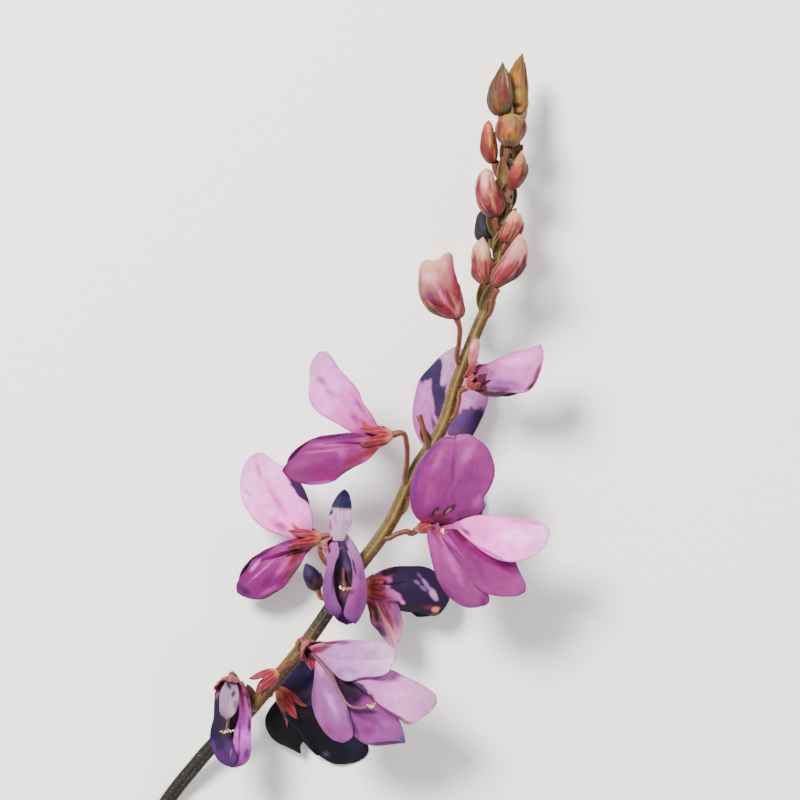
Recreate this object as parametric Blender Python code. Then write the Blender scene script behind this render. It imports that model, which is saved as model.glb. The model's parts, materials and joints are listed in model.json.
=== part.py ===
"""A flowering spray of showy tick trefoil (Desmodium), lying on a flat surface as picked.

One ridged stem carries ten open pea-type flowers, one withered calyx and a spike of buds.
Each flower is three solids: a lobed calyx, the upright standard petal, and the two wing
petals joined at the throat to the keel and the stamens.
The frame: +Y runs along the spray to the tip of its spike, +Z points up from the surface
that it lies on, and the origin is at the centre of its bounding box, on that surface.
Lengths are in millimetres. They become Blender's metres where a mesh is finished.
"""

import math
from dataclasses import dataclass

import bmesh
import bpy
from mathutils import Vector
from mathutils.geometry import intersect_point_line

MM = 0.001

# Driving dimensions of the species.
PETAL_THICKNESS = 0.66
SEAT_GAP = 0.3
PETAL_GAP = 0.12
CLAW_WIDTH = 1.2
STANDARD_SEAT = 1.0
WING_SEAT = 0.45
HUB_RADIUS = 0.75
STAMEN_RADIUS = 0.32
CALYX_RADIUS = 1.4
CALYX_WALL = 0.55
CALYX_LOBE = 2.2
LOBES = 5
STEM_RADIUS_AT_CUT = 0.9
STEM_RADIUS_AT_TIP = 0.42
STEM_RIDGES = 5
RIDGE_HEIGHT = 0.10
PEDICEL_RADIUS = 0.36
PEDICEL_LEAD = 1.1
BRACT_LENGTH = 2.2

# How finely the solids are faceted.
STANDARD_FACETS = (7, 5)
WING_FACETS = (5, 4)
KEEL_FACETS = (4, 4)
CALYX_FACETS = (15, 5)
BUD_FACETS = (10, 6)
PEDICEL_SIDES = 5
SHARP_ANGLE = 55

# Where the middle of the drawing's frame lies from the middle of the spray, on its surface.
ORIGIN = Vector((-0.76, -1.33, 0.13))


@dataclass
class Petal:
    """A petal from the throat to its tip.

    face is the way that its inner side looks. A positive fold bends both halves towards
    that side, in degrees. A positive arch lifts the middle towards it, and a positive bow
    pushes the middle to the left of the way to the tip, both as shares of the length.
    A small fullness makes the petal broad from its base, ears round its lower corners back
    towards the claw, and a positive skew draws the left corner of its tip forward. Left as
    they are, fold and arch make a shallow dome.
    """

    tip: tuple
    face: tuple
    width: float
    fold: float = -14.0
    arch: float = 0.05
    bow: float = 0.0
    fullness: float = 0.78
    notch: float = 0.0
    ears: float = 0.0
    skew: float = 0.0


@dataclass
class Flower:
    """An open flower, from where its pedicel leaves the stem to the tips of its petals."""

    name: str
    pedicel: list
    calyx_base: tuple
    throat: tuple
    standard: Petal
    wing_left: Petal
    wing_right: Petal
    keel: Petal
    stamens: tuple


@dataclass
class Bud:
    """A closed bud, from its foot on the pedicel to its tip.

    A swell over 1 puts its widest place nearer to the tip, and lips part its sides there.
    """

    name: str
    pedicel: list
    foot: tuple
    tip: tuple
    radius: float
    colour: str = "bud_pink"
    lips: float = 0.0
    swell: float = 0.85


# The stem's route, from the cut end to the foot of the last buds.
STEM_ROUTE = [
    (-24.9, -48.9, 1.05),
    (-22.6, -45.7, 1.9),
    (-20.4, -43.0, 2.9),
    (-17.8, -40.0, 4.1),
    (-14.2, -36.6, 5.9),
    (-11.0, -32.9, 7.7),
    (-5.9, -26.7, 9.4),
    (-0.4, -18.6, 10.0),
    (4.4, -12.0, 10.2),
    (7.5, -5.4, 10.3),
    (10.9, 0.0, 10.3),
    (12.7, 5.6, 10.3),
    (14.8, 11.1, 10.2),
    (17.0, 16.6, 9.9),
    (18.3, 23.0, 9.5),
    (19.3, 30.5, 9.1),
    (20.1, 38.4, 8.8),
]

FLOWERS = [
    Flower(
        name="flower_01",
        pedicel=[(-12.6, -35.4, 7.2), (-14.0, -33.6, 7.4)],
        calyx_base=(-15.5, -31.6, 9.0),
        throat=(-15.7, -33.2, 11.2),
        standard=Petal((-15.8, -34.2, 16.4), (0, -1, -0.2), 4.6, fold=14),
        wing_left=Petal((-16.7, -41.8, 12.2), (-0.8, 0, 0.6), 4.6, arch=0.07, fullness=0.58),
        wing_right=Petal((-13.8, -41.8, 12.4), (0.8, 0, 0.6), 4.8, arch=0.07, fullness=0.58),
        keel=Petal((-15.2, -41.9, 10.8), (0, 0.1, 1), 4.4, fold=58),
        stamens=(-15.4, -37.6, 12.9),
    ),
    Flower(
        name="flower_02",
        pedicel=[(-10.6, -33.6, 6.2), (-11.2, -32.2, 5.6)],
        calyx_base=(-9.9, -32.9, 4.7),
        throat=(-8.2, -35.1, 4.0),
        standard=Petal((-4.8, -26.6, 2.8), (0.1, 0, 1), 7.6, fold=10, fullness=0.55),
        wing_left=Petal((-8.0, -42.0, 1.9), (-0.2, 0.1, 1), 5.6, bow=-0.12),
        wing_right=Petal((-1.6, -43.3, 0.5), (0.1, -0.1, 1), 7.2, fullness=0.62),
        keel=Petal((-4.6, -41.6, 0.9), (0.5, 0.3, 0.8), 4.0, fold=40),
        stamens=(-6.2, -38.4, 3.2),
    ),
    Flower(
        name="flower_03",
        pedicel=[(-6.6, -27.6, 9.8), (-6.9, -28.7, 10.0)],
        calyx_base=(-5.6, -29.3, 11.0),
        throat=(-3.9, -29.7, 13.4),
        standard=Petal(
            (5.0, -28.2, 18.0), (0, -0.3, 0.95), 5.8, fold=12, fullness=0.39, ears=0.2
        ),
        wing_left=Petal((-1.2, -38.9, 16.0), (-0.4, 0, 0.9), 5.6, bow=-0.12, fullness=0.62),
        wing_right=Petal((10.0, -33.8, 16.2), (0, 0.35, 0.93), 5.4, bow=-0.06, skew=-0.08),
        keel=Petal((6.0, -39.0, 14.2), (0.3, 0.45, 0.85), 7.0, fold=36),
        stamens=(2.3, -34.3, 16.4),
    ),
    Flower(
        name="flower_04",
        pedicel=[(-0.6, -19.4, 9.6), (0.4, -19.5, 8.5)],
        calyx_base=(1.9, -19.5, 7.2),
        throat=(4.3, -19.4, 6.3),
        standard=Petal((3.9, -27.4, 9.0), (0.65, 0, 0.75), 5.2, fold=16),
        wing_left=Petal((11.7, -22.4, 5.6), (0.1, 0.15, 1), 5.6, bow=0.06),
        wing_right=Petal((11.5, -22.5, 1.9), (0, 0.15, -1), 5.6, bow=-0.06),
        keel=Petal((10.9, -23.2, 3.6), (0.1, 1, 0), 5.0, fold=60),
        stamens=(9.0, -19.2, 4.2),
    ),
    Flower(
        name="flower_05",
        pedicel=[(-1.0, -19.6, 10.4), (-2.5, -17.2, 10.4), (-3.0, -14.8, 10.7)],
        calyx_base=(-2.4, -13.6, 12.2),
        throat=(-1.6, -14.6, 14.4),
        standard=Petal((-1.3, -7.8, 11.8), (0.1, -0.25, 0.97), 6.0, fold=-60),
        wing_left=Petal((-2.6, -23.7, 15.8), (-0.8, 0, 0.6), 4.2, arch=0.08),
        wing_right=Petal((0.7, -23.6, 15.8), (0.8, 0, 0.6), 4.2, arch=0.08),
        keel=Petal((-0.8, -24.2, 14.4), (0, 0.1, 1), 4.6, fold=58),
        stamens=(-1.0, -19.6, 16.2),
    ),
    Flower(
        name="flower_06",
        pedicel=[(-2.0, -21.0, 9.4), (-3.0, -18.4, 8.6), (-2.6, -15.4, 8.2)],
        calyx_base=(-4.0, -13.8, 8.0),
        throat=(-6.5, -14.0, 7.6),
        standard=Petal(
            (-12.0, -3.4, 7.6), (-0.3, -0.35, 0.9), 9.2, fold=12, bow=0.08, fullness=0.47, ears=0.12
        ),
        wing_left=Petal((-14.9, -21.3, 4.4), (0.1, 0.25, 1), 5.4, bow=0.02, skew=0.06),
        wing_right=Petal((-14.5, -20.6, 0.4), (0.1, 0.25, -1), 5.4),
        keel=Petal((-13.2, -21.8, 2.6), (-0.5, 0.85, 0), 5.0, fold=62),
        stamens=(-11.6, -17.4, 4.4),
    ),
    Flower(
        name="flower_07",
        pedicel=[(3.4, -14.6, 10.3), (4.9, -12.9, 10.8), (6.2, -12.8, 10.8)],
        calyx_base=(7.9, -13.1, 11.7),
        throat=(10.2, -11.7, 14.0),
        standard=Petal(
            (13.4, -0.9, 14.2), (0.05, -0.12, 1), 10.8, fold=9, fullness=0.3, ears=0.2
        ),
        wing_left=Petal(
            (16.5, -22.0, 16.6), (-0.4, -0.1, 0.9), 6.0, bow=-0.13, fullness=0.55, skew=0.1
        ),
        wing_right=Petal((24.0, -13.7, 17.6), (0.1, 0.25, 0.95), 6.5, bow=-0.12, skew=0.05),
        keel=Petal((20.9, -20.4, 15.2), (0.35, 0.5, 0.8), 7.6, fold=34),
        stamens=(15.0, -14.6, 16.6),
    ),
    Flower(
        name="flower_08",
        pedicel=[(6.4, -7.2, 10.6), (6.5, -4.0, 12.4), (6.4, -1.8, 13.6)],
        calyx_base=(4.9, -0.9, 14.2),
        throat=(2.4, -1.2, 14.2),
        standard=Petal((-4.4, 8.8, 15.4), (-0.35, -0.45, 0.8), 7.4, fold=20, notch=0.1),
        wing_left=Petal((-8.8, -5.6, 15.2), (0.05, 0.2, 1), 5.9),
        wing_right=Petal((-8.4, -5.0, 11.9), (0.05, 0.2, -1), 5.9),
        keel=Petal((-7.3, -6.4, 13.4), (-0.3, 0.95, 0), 5.2, fold=62),
        stamens=(-4.0, -2.2, 14.0),
    ),
    Flower(
        name="flower_09",
        pedicel=[(10.3, -1.4, 9.6), (10.7, -2.0, 8.4)],
        calyx_base=(10.7, -3.6, 6.4),
        throat=(11.0, -4.2, 4.2),
        standard=Petal((12.5, 10.2, 0.5), (0, 0.12, 1), 9.8, fold=10, fullness=0.62),
        wing_left=Petal((9.4, -12.6, 1.6), (-0.3, 0, 1), 5.0),
        wing_right=Petal((15.4, -12.0, 1.6), (0.3, 0, 1), 5.0),
        keel=Petal((12.4, -13.6, 1.3), (0, 0.1, -1), 4.4, fold=30),
        stamens=(12.0, -9.0, 2.6),
    ),
    Flower(
        name="flower_10",
        pedicel=[(11.9, 1.0, 10.4), (12.9, 3.0, 11.0)],
        calyx_base=(13.9, 4.9, 11.5),
        throat=(15.4, 6.0, 12.4),
        standard=Petal((15.5, 11.3, 13.8), (0.85, 0.15, 0.5), 4.4),
        wing_left=Petal(
            (23.2, 9.4, 14.0), (-0.1, 0.2, 1), 5.0, bow=-0.17, fullness=0.62, skew=0.12
        ),
        wing_right=Petal((22.8, 8.6, 10.8), (0.1, 0.1, -1), 5.0, bow=0.17, skew=-0.12),
        keel=Petal((21.8, 5.8, 12.4), (0.2, 1, 0), 4.6, fold=60),
        stamens=(19.8, 8.0, 11.8),
    ),
]

BUDS = [
    Bud(
        name="bud_01",
        pedicel=[(12.9, 8.2, 10.8), (13.0, 10.8, 12.0)],
        foot=(12.7, 13.4, 12.8),
        tip=(10.0, 21.6, 13.8),
        radius=2.25,
        lips=0.3,
        swell=1.25,
    ),
    Bud(
        name="bud_02",
        pedicel=[(16.2, 14.2, 10.2), (16.4, 15.6, 10.8)],
        foot=(16.6, 17.5, 11.0),
        tip=(15.6, 23.6, 11.2),
        radius=1.1,
    ),
    Bud(
        name="bud_03",
        pedicel=[(16.3, 13.8, 10.2), (17.2, 15.2, 11.4)],
        foot=(17.7, 17.0, 12.4),
        tip=(20.6, 23.9, 14.0),
        radius=1.7,
    ),
    Bud(
        name="bud_04",
        pedicel=[(18.1, 20.6, 9.7), (18.5, 21.8, 10.2)],
        foot=(18.8, 22.9, 11.1),
        tip=(20.4, 27.4, 11.9),
        radius=1.35,
    ),
    Bud(
        name="bud_05",
        pedicel=[(18.5, 23.4, 9.6), (18.2, 24.6, 10.2)],
        foot=(17.5, 26.0, 10.8),
        tip=(16.1, 32.1, 11.5),
        radius=1.5,
    ),
    Bud(
        name="bud_06",
        pedicel=[(18.2, 21.6, 9.3), (17.5, 22.4, 8.7)],
        foot=(16.6, 23.8, 8.1),
        tip=(15.3, 27.0, 7.7),
        radius=1.1,
    ),
    Bud(
        name="bud_07",
        pedicel=[(19.1, 27.4, 9.5), (19.3, 28.3, 10.0)],
        foot=(19.3, 29.4, 10.9),
        tip=(21.2, 34.4, 11.7),
        radius=1.35,
    ),
    Bud(
        name="bud_08",
        pedicel=[(19.3, 30.2, 9.1), (18.5, 31.2, 9.2)],
        foot=(17.5, 32.7, 9.2),
        tip=(16.3, 38.3, 9.2),
        radius=1.05,
    ),
    Bud(
        name="bud_09",
        pedicel=[(19.6, 32.2, 9.2), (19.4, 33.2, 10.2)],
        foot=(19.0, 34.5, 11.2),
        tip=(19.4, 40.0, 12.4),
        radius=1.7,
        colour="stem_olive",
    ),
    Bud(
        name="bud_10",
        pedicel=[(19.9, 36.8, 8.9), (19.2, 37.8, 9.3)],
        foot=(18.3, 39.2, 9.8),
        tip=(18.3, 45.6, 10.6),
        radius=1.3,
        colour="stem_olive",
    ),
    Bud(
        name="bud_11",
        pedicel=[(20.0, 37.6, 8.8), (20.2, 38.6, 8.5)],
        foot=(20.4, 39.8, 8.1),
        tip=(20.9, 46.8, 7.7),
        radius=1.3,
        colour="stem_olive",
    ),
    Bud(
        name="bud_12",
        pedicel=[(18.0, 19.6, 9.4), (18.4, 20.6, 8.6)],
        foot=(18.9, 22.2, 7.7),
        tip=(20.2, 27.2, 6.5),
        radius=1.25,
    ),
    Bud(
        name="bud_13",
        pedicel=[(19.0, 26.8, 9.0), (19.0, 27.8, 8.4)],
        foot=(19.1, 29.4, 7.5),
        tip=(19.2, 33.6, 6.2),
        radius=1.1,
    ),
    Bud(
        name="bud_14",
        pedicel=[(19.5, 32.0, 8.9), (19.6, 33.0, 8.2)],
        foot=(19.7, 34.7, 7.3),
        tip=(19.8, 38.8, 6.2),
        radius=1.0,
        colour="stem_olive",
    ),
    Bud(
        name="bud_15",
        pedicel=[(-2.6, -21.8, 9.6), (-3.6, -21.4, 9.6)],
        foot=(-4.6, -20.4, 9.7),
        tip=(-6.2, -17.0, 10.2),
        radius=1.1,
        colour="petal_dusk",
    ),
]

# The calyx that is left where a flower has dropped: its pedicel, its base and its mouth.
WITHERED_PEDICEL = [(-8.4, -29.8, 8.8), (-8.0, -29.4, 9.9)]
WITHERED_BASE = (-9.5, -30.4, 10.6)
WITHERED_MOUTH = (-11.5, -31.8, 11.0)

# The bare pedicel of a dropped flower, and the foot and tip of each bract.
BARE_PEDICEL = [(9.2, -2.6, 10.9), (8.6, -0.4, 11.7), (8.0, 1.5, 12.1)]
BRACTS = [
    ((5.0, -11.2, 10.2), (6.8, -8.6, 10.9)),
    ((9.2, -2.2, 10.4), (8.2, 0.2, 11.0)),
    ((17.4, 18.2, 9.8), (19.2, 21.0, 10.6)),
    ((-2.8, -22.4, 9.8), (-4.0, -20.2, 10.9)),
    ((-12.6, -34.6, 7.2), (-13.6, -32.2, 7.9)),
    ((18.5, 25.0, 9.4), (20.2, 27.4, 9.1)),
    ((18.9, 28.6, 9.2), (17.6, 31.0, 9.9)),
    ((19.5, 33.0, 9.0), (21.0, 35.4, 9.3)),
    ((19.9, 36.6, 8.9), (21.3, 38.8, 9.6)),
]

COLOURS = {
    "petal_pale": (0.72, 0.44, 0.66),
    "petal_deep": (0.42, 0.10, 0.36),
    "petal_dusk": (0.08, 0.05, 0.20),
    "calyx_red": (0.55, 0.16, 0.12),
    "bud_pink": (0.58, 0.24, 0.20),
    "stem_olive": (0.24, 0.19, 0.06),
}
ROUGHNESS = 0.6
DUSKY_PETALS = ("flower_02_standard", "flower_02_wings_keel", "flower_04_wings_keel")


def material(name):
    """The Principled material of that name, made once."""
    found = bpy.data.materials.get(name)
    if found:
        return found
    made = bpy.data.materials.new(name)
    made.use_nodes = True
    shader = made.node_tree.nodes["Principled BSDF"]
    shader.inputs["Base Color"].default_value = (*COLOURS[name], 1)
    shader.inputs["Roughness"].default_value = ROUGHNESS
    shader.inputs["Metallic"].default_value = 0
    return made


def object_from(name, bm, colour):
    """Ends the millimetre mesh as an object in metres, with its material."""
    bmesh.ops.recalc_face_normals(bm, faces=bm.faces)
    bmesh.ops.translate(bm, vec=-ORIGIN, verts=bm.verts)
    bmesh.ops.scale(bm, vec=(MM, MM, MM), verts=bm.verts)
    mesh = bpy.data.meshes.new(name)
    bm.to_mesh(mesh)
    bm.free()
    mesh.materials.append(material(colour))
    mesh.shade_smooth()
    made = bpy.data.objects.new(name, mesh)
    bpy.context.scene.collection.objects.link(made)
    return made


def sheet(facets, place):
    """A grid of (columns, rows) facets, each point put where place(across, along) says."""
    columns, rows = facets
    bm = bmesh.new()
    bmesh.ops.create_grid(bm, x_segments=columns, y_segments=rows, size=0.5)
    for vert in bm.verts:
        vert.co = place(vert.co.x + 0.5, vert.co.y + 0.5)
    bmesh.ops.triangulate(bm, faces=bm.faces)
    return bm


def applied(made):
    """Replaces the object's mesh by what its modifiers make of it."""
    graph = bpy.context.evaluated_depsgraph_get()
    result = bpy.data.meshes.new_from_object(made.evaluated_get(graph))
    before = made.data
    made.modifiers.clear()
    made.data = result
    made.data.set_sharp_from_angle(angle=math.radians(SHARP_ANGLE))
    bpy.data.meshes.remove(before)


def combine(body, pieces, operation):
    """Joins the pieces to the body, or cuts them from it, and removes them."""
    tools = bpy.data.collections.new(body.name + "_pieces")
    bpy.context.scene.collection.children.link(tools)
    for piece in pieces:
        bpy.context.scene.collection.objects.unlink(piece)
        tools.objects.link(piece)
    step = body.modifiers.new("combine", "BOOLEAN")
    step.operation = operation
    step.operand_type = "COLLECTION"
    step.collection = tools
    step.solver = "MANIFOLD"
    step.material_mode = "INDEX"
    applied(body)
    for piece in pieces:
        bpy.data.objects.remove(piece)
    bpy.data.collections.remove(tools)


def keep_outer_skin(made):
    """Keeps the largest skin of the mesh, without loose scraps and sealed hollows."""
    bm = bmesh.new()
    bm.from_mesh(made.data)
    left = set(bm.verts)
    bodies = []
    while left:
        body = set()
        front = [left.pop()]
        while front:
            vert = front.pop()
            body.add(vert)
            for edge in vert.link_edges:
                other = edge.other_vert(vert)
                if other in left:
                    left.remove(other)
                    front.append(other)
        bodies.append(body)
    bodies.sort(key=len)
    scraps = [vert for body in bodies[:-1] for vert in body]
    bmesh.ops.delete(bm, geom=scraps, context="VERTS")
    bm.to_mesh(made.data)
    bm.free()


def petal_blade(name, base, petal, facets, colour, grown=0.0):
    """A petal of even thickness; grown widens and thickens it, for use as a cutter."""
    start = Vector(base)
    way = Vector(petal.tip) - start
    length = way.length
    way.normalize()
    start -= way * grown
    side = Vector(petal.face).cross(way).normalized()
    face = way.cross(side)
    claw = CLAW_WIDTH / 2 + grown
    spread = petal.width / 2 + grown - claw
    fold = math.radians(petal.fold)
    turn_of_widest = 1.8
    round_end = 0.5
    soft_crease = 0.4

    def place(across, along):
        a = 2 * across - 1
        half = claw + spread * math.sin(turn_of_widest * along) ** petal.fullness
        x = a * half
        reach = along - round_end * along**2 * (1 - math.sqrt(1 - 0.92 * a * a))
        reach -= petal.notch * along**6 * math.exp(-((a / 0.25) ** 2))
        reach += petal.skew * a * along * along
        lower = min(1, 2 * along)
        reach -= petal.ears * a * a * 4 * lower * (1 - lower)
        middle = 4 * along * (1 - along)
        bend = fold * math.sin(math.pi / 2 * min(1, 1.6 * along))
        rise = (math.hypot(x, soft_crease) - soft_crease) * math.sin(bend)
        rise += petal.arch * length * middle
        x = x * math.cos(bend) + petal.bow * length * middle
        return start + way * (length + 2 * grown) * reach + side * x + face * rise

    made = object_from(name, sheet(facets, place), colour)
    thicken = made.modifiers.new("thickness", "SOLIDIFY")
    thicken.thickness = (PETAL_THICKNESS + 2 * grown) * MM
    thicken.offset = 0
    applied(made)
    return made


def turned(name, facets, base, tip, outline, colour):
    """A closed body about the line from base to tip: outline(turn, along) gives (radius, height)."""
    start = Vector(base)
    axis = (Vector(tip) - start).normalized()
    side = axis.orthogonal().normalized()
    other = axis.cross(side)

    def place(across, along):
        angle = 2 * math.pi * across
        radius, height = outline(angle, along)
        return start + axis * height + (side * math.cos(angle) + other * math.sin(angle)) * radius

    bm = sheet(facets, place)
    bmesh.ops.remove_doubles(bm, verts=bm.verts, dist=0.001)
    return object_from(name, bm, colour)


def calyx_cup(name, base, mouth, colour="calyx_red"):
    """A bell with five pointed lobes and a hollow mouth, in which the flower sits."""
    length = (Vector(mouth) - Vector(base)).length

    def outline(angle, along):
        lobe = CALYX_LOBE * (0.5 + 0.5 * math.cos(LOBES * angle))
        rim = length + lobe
        if along < 0.7:
            share = along / 0.7
            height = rim * share
            radius = CALYX_RADIUS * math.sin(math.pi / 2 * min(1, height / length)) ** 0.6
            return radius + 0.35 * max(0, height - length), height
        share = (1 - along) / 0.3
        rim_radius = CALYX_RADIUS + 0.35 * (rim - length) - CALYX_WALL
        return rim_radius * share, rim * share + 0.45 * length * (1 - share)

    return turned(name, CALYX_FACETS, base, mouth, outline, colour)


def strand(name, route, start_radius, end_radius, sides, ridge, colour):
    """A rod of round or ridged section along the route."""
    section = bpy.data.curves.new(name + "_section", "CURVE")
    ring = section.splines.new("POLY")
    ring.points.add(sides - 1)
    ring.use_cyclic_u = True
    for index, point in enumerate(ring.points):
        angle = 2 * math.pi * index / sides
        radius = 1 + (ridge if index % 2 else -ridge)
        point.co = (radius * math.cos(angle), radius * math.sin(angle), 0, 1)
    section_object = bpy.data.objects.new(name + "_section", section)
    section_object.hide_render = True

    path = bpy.data.curves.new(name, "CURVE")
    path.dimensions = "3D"
    path.resolution_u = 2
    path.bevel_mode = "OBJECT"
    path.bevel_object = section_object
    path.use_fill_caps = True
    spline = path.splines.new("BEZIER")
    spline.bezier_points.add(len(route) - 1)
    for index, (knot, place) in enumerate(zip(spline.bezier_points, route)):
        share = (index / (len(route) - 1)) ** 1.8
        knot.co = place
        knot.handle_left_type = "AUTO"
        knot.handle_right_type = "AUTO"
        knot.radius = start_radius + (end_radius - start_radius) * share
    guide = bpy.data.objects.new(name + "_path", path)
    bpy.context.scene.collection.objects.link(guide)
    graph = bpy.context.evaluated_depsgraph_get()
    swept = bpy.data.meshes.new_from_object(guide.evaluated_get(graph))
    bm = bmesh.new()
    bm.from_mesh(swept)
    bmesh.ops.remove_doubles(bm, verts=bm.verts, dist=0.001)
    bpy.data.objects.remove(guide)
    bpy.data.objects.remove(section_object)
    bpy.data.meshes.remove(swept)
    return object_from(name, bm, colour)


def bract(name, foot, tip):
    """A small pointed scale at a node of the stem."""

    def outline(_angle, along):
        return 0.5 * math.sin(math.pi * along) ** 0.8, BRACT_LENGTH * along

    made = turned(name, (6, 4), foot, tip, outline, "stem_olive")
    return made


def throat_axes(flower):
    """The calyx's axis, the way up from it to the standard, and the way to the side."""
    throat = Vector(flower.throat)
    axis = (throat - Vector(flower.calyx_base)).normalized()
    up = Vector(flower.standard.tip) - Vector(flower.keel.tip)
    up = (up - axis * up.dot(axis)).normalized()
    return axis, up, axis.cross(up)


def add_flower(flower):
    """Makes the three solids of one open flower."""
    throat = Vector(flower.throat)
    axis, up, side = throat_axes(flower)
    standard_name = flower.name + "_standard"
    wings_name = flower.name + "_wings_keel"
    pale = "petal_dusk" if standard_name in DUSKY_PETALS else "petal_pale"
    deep = "petal_dusk" if wings_name in DUSKY_PETALS else "petal_deep"
    low = throat - up * WING_SEAT
    left = 1 if (Vector(flower.wing_left.tip) - throat).dot(side) > 0 else -1
    parts = [
        ("wing_left", low + side * WING_SEAT * left, flower.wing_left, WING_FACETS),
        ("wing_right", low - side * WING_SEAT * left, flower.wing_right, WING_FACETS),
        ("keel", low - up * 0.2, flower.keel, KEEL_FACETS),
    ]
    seat = throat + up * STANDARD_SEAT + axis * 0.2

    petal_blade(standard_name, seat, flower.standard, STANDARD_FACETS, pale)
    blades = [petal_blade(label, base, petal, facets, deep) for label, base, petal, facets in parts]
    body = blades.pop()
    body.name = wings_name
    stamens = [throat - up * 0.3, (throat + Vector(flower.stamens)) / 2, Vector(flower.stamens)]
    column = strand("stamens", stamens, STAMEN_RADIUS * 1.3, STAMEN_RADIUS, 5, 0, deep)
    combine(body, [*blades, hub(low), column], "UNION")
    room = petal_blade(
        "standard_room", seat, flower.standard, STANDARD_FACETS, pale, PETAL_GAP
    )
    combine(body, [room], "DIFFERENCE")
    keep_outer_skin(body)

    mouth = Vector(flower.calyx_base).lerp(throat, 0.9)
    cup = calyx_cup(flower.name + "_calyx", flower.calyx_base, mouth)
    cutters = [
        petal_blade(label + "_room", base, petal, facets, deep, SEAT_GAP)
        for label, base, petal, facets in parts
    ]
    cutters.append(
        petal_blade("standard_room", seat, flower.standard, STANDARD_FACETS, pale, SEAT_GAP)
    )
    cutters.append(hub(low, SEAT_GAP))
    combine(cup, cutters, "DIFFERENCE")
    keep_outer_skin(cup)


def hub(centre, grown=0.0):
    """The small body at the throat in which the wings, the keel and the stamens meet."""
    bm = bmesh.new()
    bmesh.ops.create_icosphere(bm, subdivisions=1, radius=HUB_RADIUS + grown)
    bmesh.ops.translate(bm, vec=centre, verts=bm.verts)
    return object_from("hub", bm, "petal_deep")


def add_bud(bud):
    """A bud that swells from its foot, with the calyx's lobes raised on it."""
    length = (Vector(bud.tip) - Vector(bud.foot)).length

    def outline(angle, along):
        lobe = max(0, 0.12 * math.cos(LOBES * angle)) * math.sin(math.pi * min(1, 1.3 * along))
        round_body = math.sin(math.pi * along**bud.swell) ** 0.75
        lips = bud.lips * abs(math.cos(angle)) * 4 * along * (1 - along)
        return bud.radius * round_body * (1 + lobe), length * along * (1 + lips)

    turned(bud.name, BUD_FACETS, bud.foot, bud.tip, outline, bud.colour)


def nearest_on_stem(place):
    """The point of the stem's middle line that is nearest to the place."""
    found = []
    for start, end in zip(STEM_ROUTE, STEM_ROUTE[1:]):
        point, share = intersect_point_line(place, start, end)
        if share < 0:
            point = Vector(start)
        if share > 1:
            point = Vector(end)
        found.append(point)
    return min(found, key=lambda point: (point - Vector(place)).length)


def seated(route, seat, ahead):
    """The route from the stem's middle to just short of a seat, which it meets from behind."""
    way = (Vector(ahead) - Vector(seat)).normalized()
    lead = [Vector(seat) - way * PEDICEL_LEAD, Vector(seat) - way * SEAT_GAP]
    return [nearest_on_stem(route[0]), *route[1:], *lead]


def add_rachis():
    """The stem with every pedicel and bract, as one body."""
    stem = strand(
        "rachis",
        STEM_ROUTE,
        STEM_RADIUS_AT_CUT,
        STEM_RADIUS_AT_TIP,
        2 * STEM_RIDGES,
        RIDGE_HEIGHT,
        "stem_olive",
    )
    twigs = []
    routes = [seated(flower.pedicel, flower.calyx_base, flower.throat) for flower in FLOWERS]
    routes += [seated(bud.pedicel, bud.foot, bud.tip) for bud in BUDS]
    routes.append(seated(WITHERED_PEDICEL, WITHERED_BASE, WITHERED_MOUTH))
    routes.append(BARE_PEDICEL)
    for route in routes:
        twigs.append(
            strand("pedicel", route, PEDICEL_RADIUS, PEDICEL_RADIUS, PEDICEL_SIDES, 0, "stem_olive")
        )
    for foot, tip in BRACTS:
        twigs.append(bract("bract", foot, tip))
    combine(stem, twigs, "UNION")
    keep_outer_skin(stem)


def main():
    for old in list(bpy.data.objects):
        bpy.data.objects.remove(old)
    add_rachis()
    for flower in FLOWERS:
        add_flower(flower)
    for bud in BUDS:
        add_bud(bud)
    calyx_cup("withered_calyx", WITHERED_BASE, WITHERED_MOUTH)


main()
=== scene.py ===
# A flowering spray of showy tick trefoil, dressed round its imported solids.
# Each piece is drawn in millimetres in the drawing's own frame, and moved to the middle of
# the spray, in metres, when it is finished.
import bisect
import json
import math
import random

import bmesh
import bpy
from mathutils import Matrix, Vector, noise
from mathutils.geometry import interpolate_bezier, intersect_point_line

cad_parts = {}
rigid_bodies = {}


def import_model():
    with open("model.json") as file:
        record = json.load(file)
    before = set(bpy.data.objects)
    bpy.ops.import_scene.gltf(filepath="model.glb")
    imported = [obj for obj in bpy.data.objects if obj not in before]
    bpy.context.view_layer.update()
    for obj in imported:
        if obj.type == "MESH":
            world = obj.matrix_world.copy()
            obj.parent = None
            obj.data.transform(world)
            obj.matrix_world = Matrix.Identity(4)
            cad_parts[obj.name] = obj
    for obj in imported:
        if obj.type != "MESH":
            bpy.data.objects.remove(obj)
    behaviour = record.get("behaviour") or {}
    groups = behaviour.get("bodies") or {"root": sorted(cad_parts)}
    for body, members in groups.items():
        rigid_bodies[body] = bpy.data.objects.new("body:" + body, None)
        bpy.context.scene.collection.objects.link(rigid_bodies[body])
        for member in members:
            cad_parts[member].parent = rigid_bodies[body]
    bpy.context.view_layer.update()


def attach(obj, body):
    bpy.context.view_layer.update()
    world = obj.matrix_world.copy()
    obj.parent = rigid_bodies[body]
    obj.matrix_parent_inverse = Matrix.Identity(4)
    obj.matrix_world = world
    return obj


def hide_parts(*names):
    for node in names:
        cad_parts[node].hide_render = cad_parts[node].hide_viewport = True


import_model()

# The stem. One grown herb stem, fluted with five ridges and cut on a slant at its foot.
# Its rind is olive with light streaks, and a red-brown strand runs up its right side. Painted
# shadow turns it near black in a band a third of the way up and near its cut end, and painted
# shade darkens its lower right side.

MM = 0.001
SPRAY_MIDDLE = Vector((-0.76, -1.33, 0.13))

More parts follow.
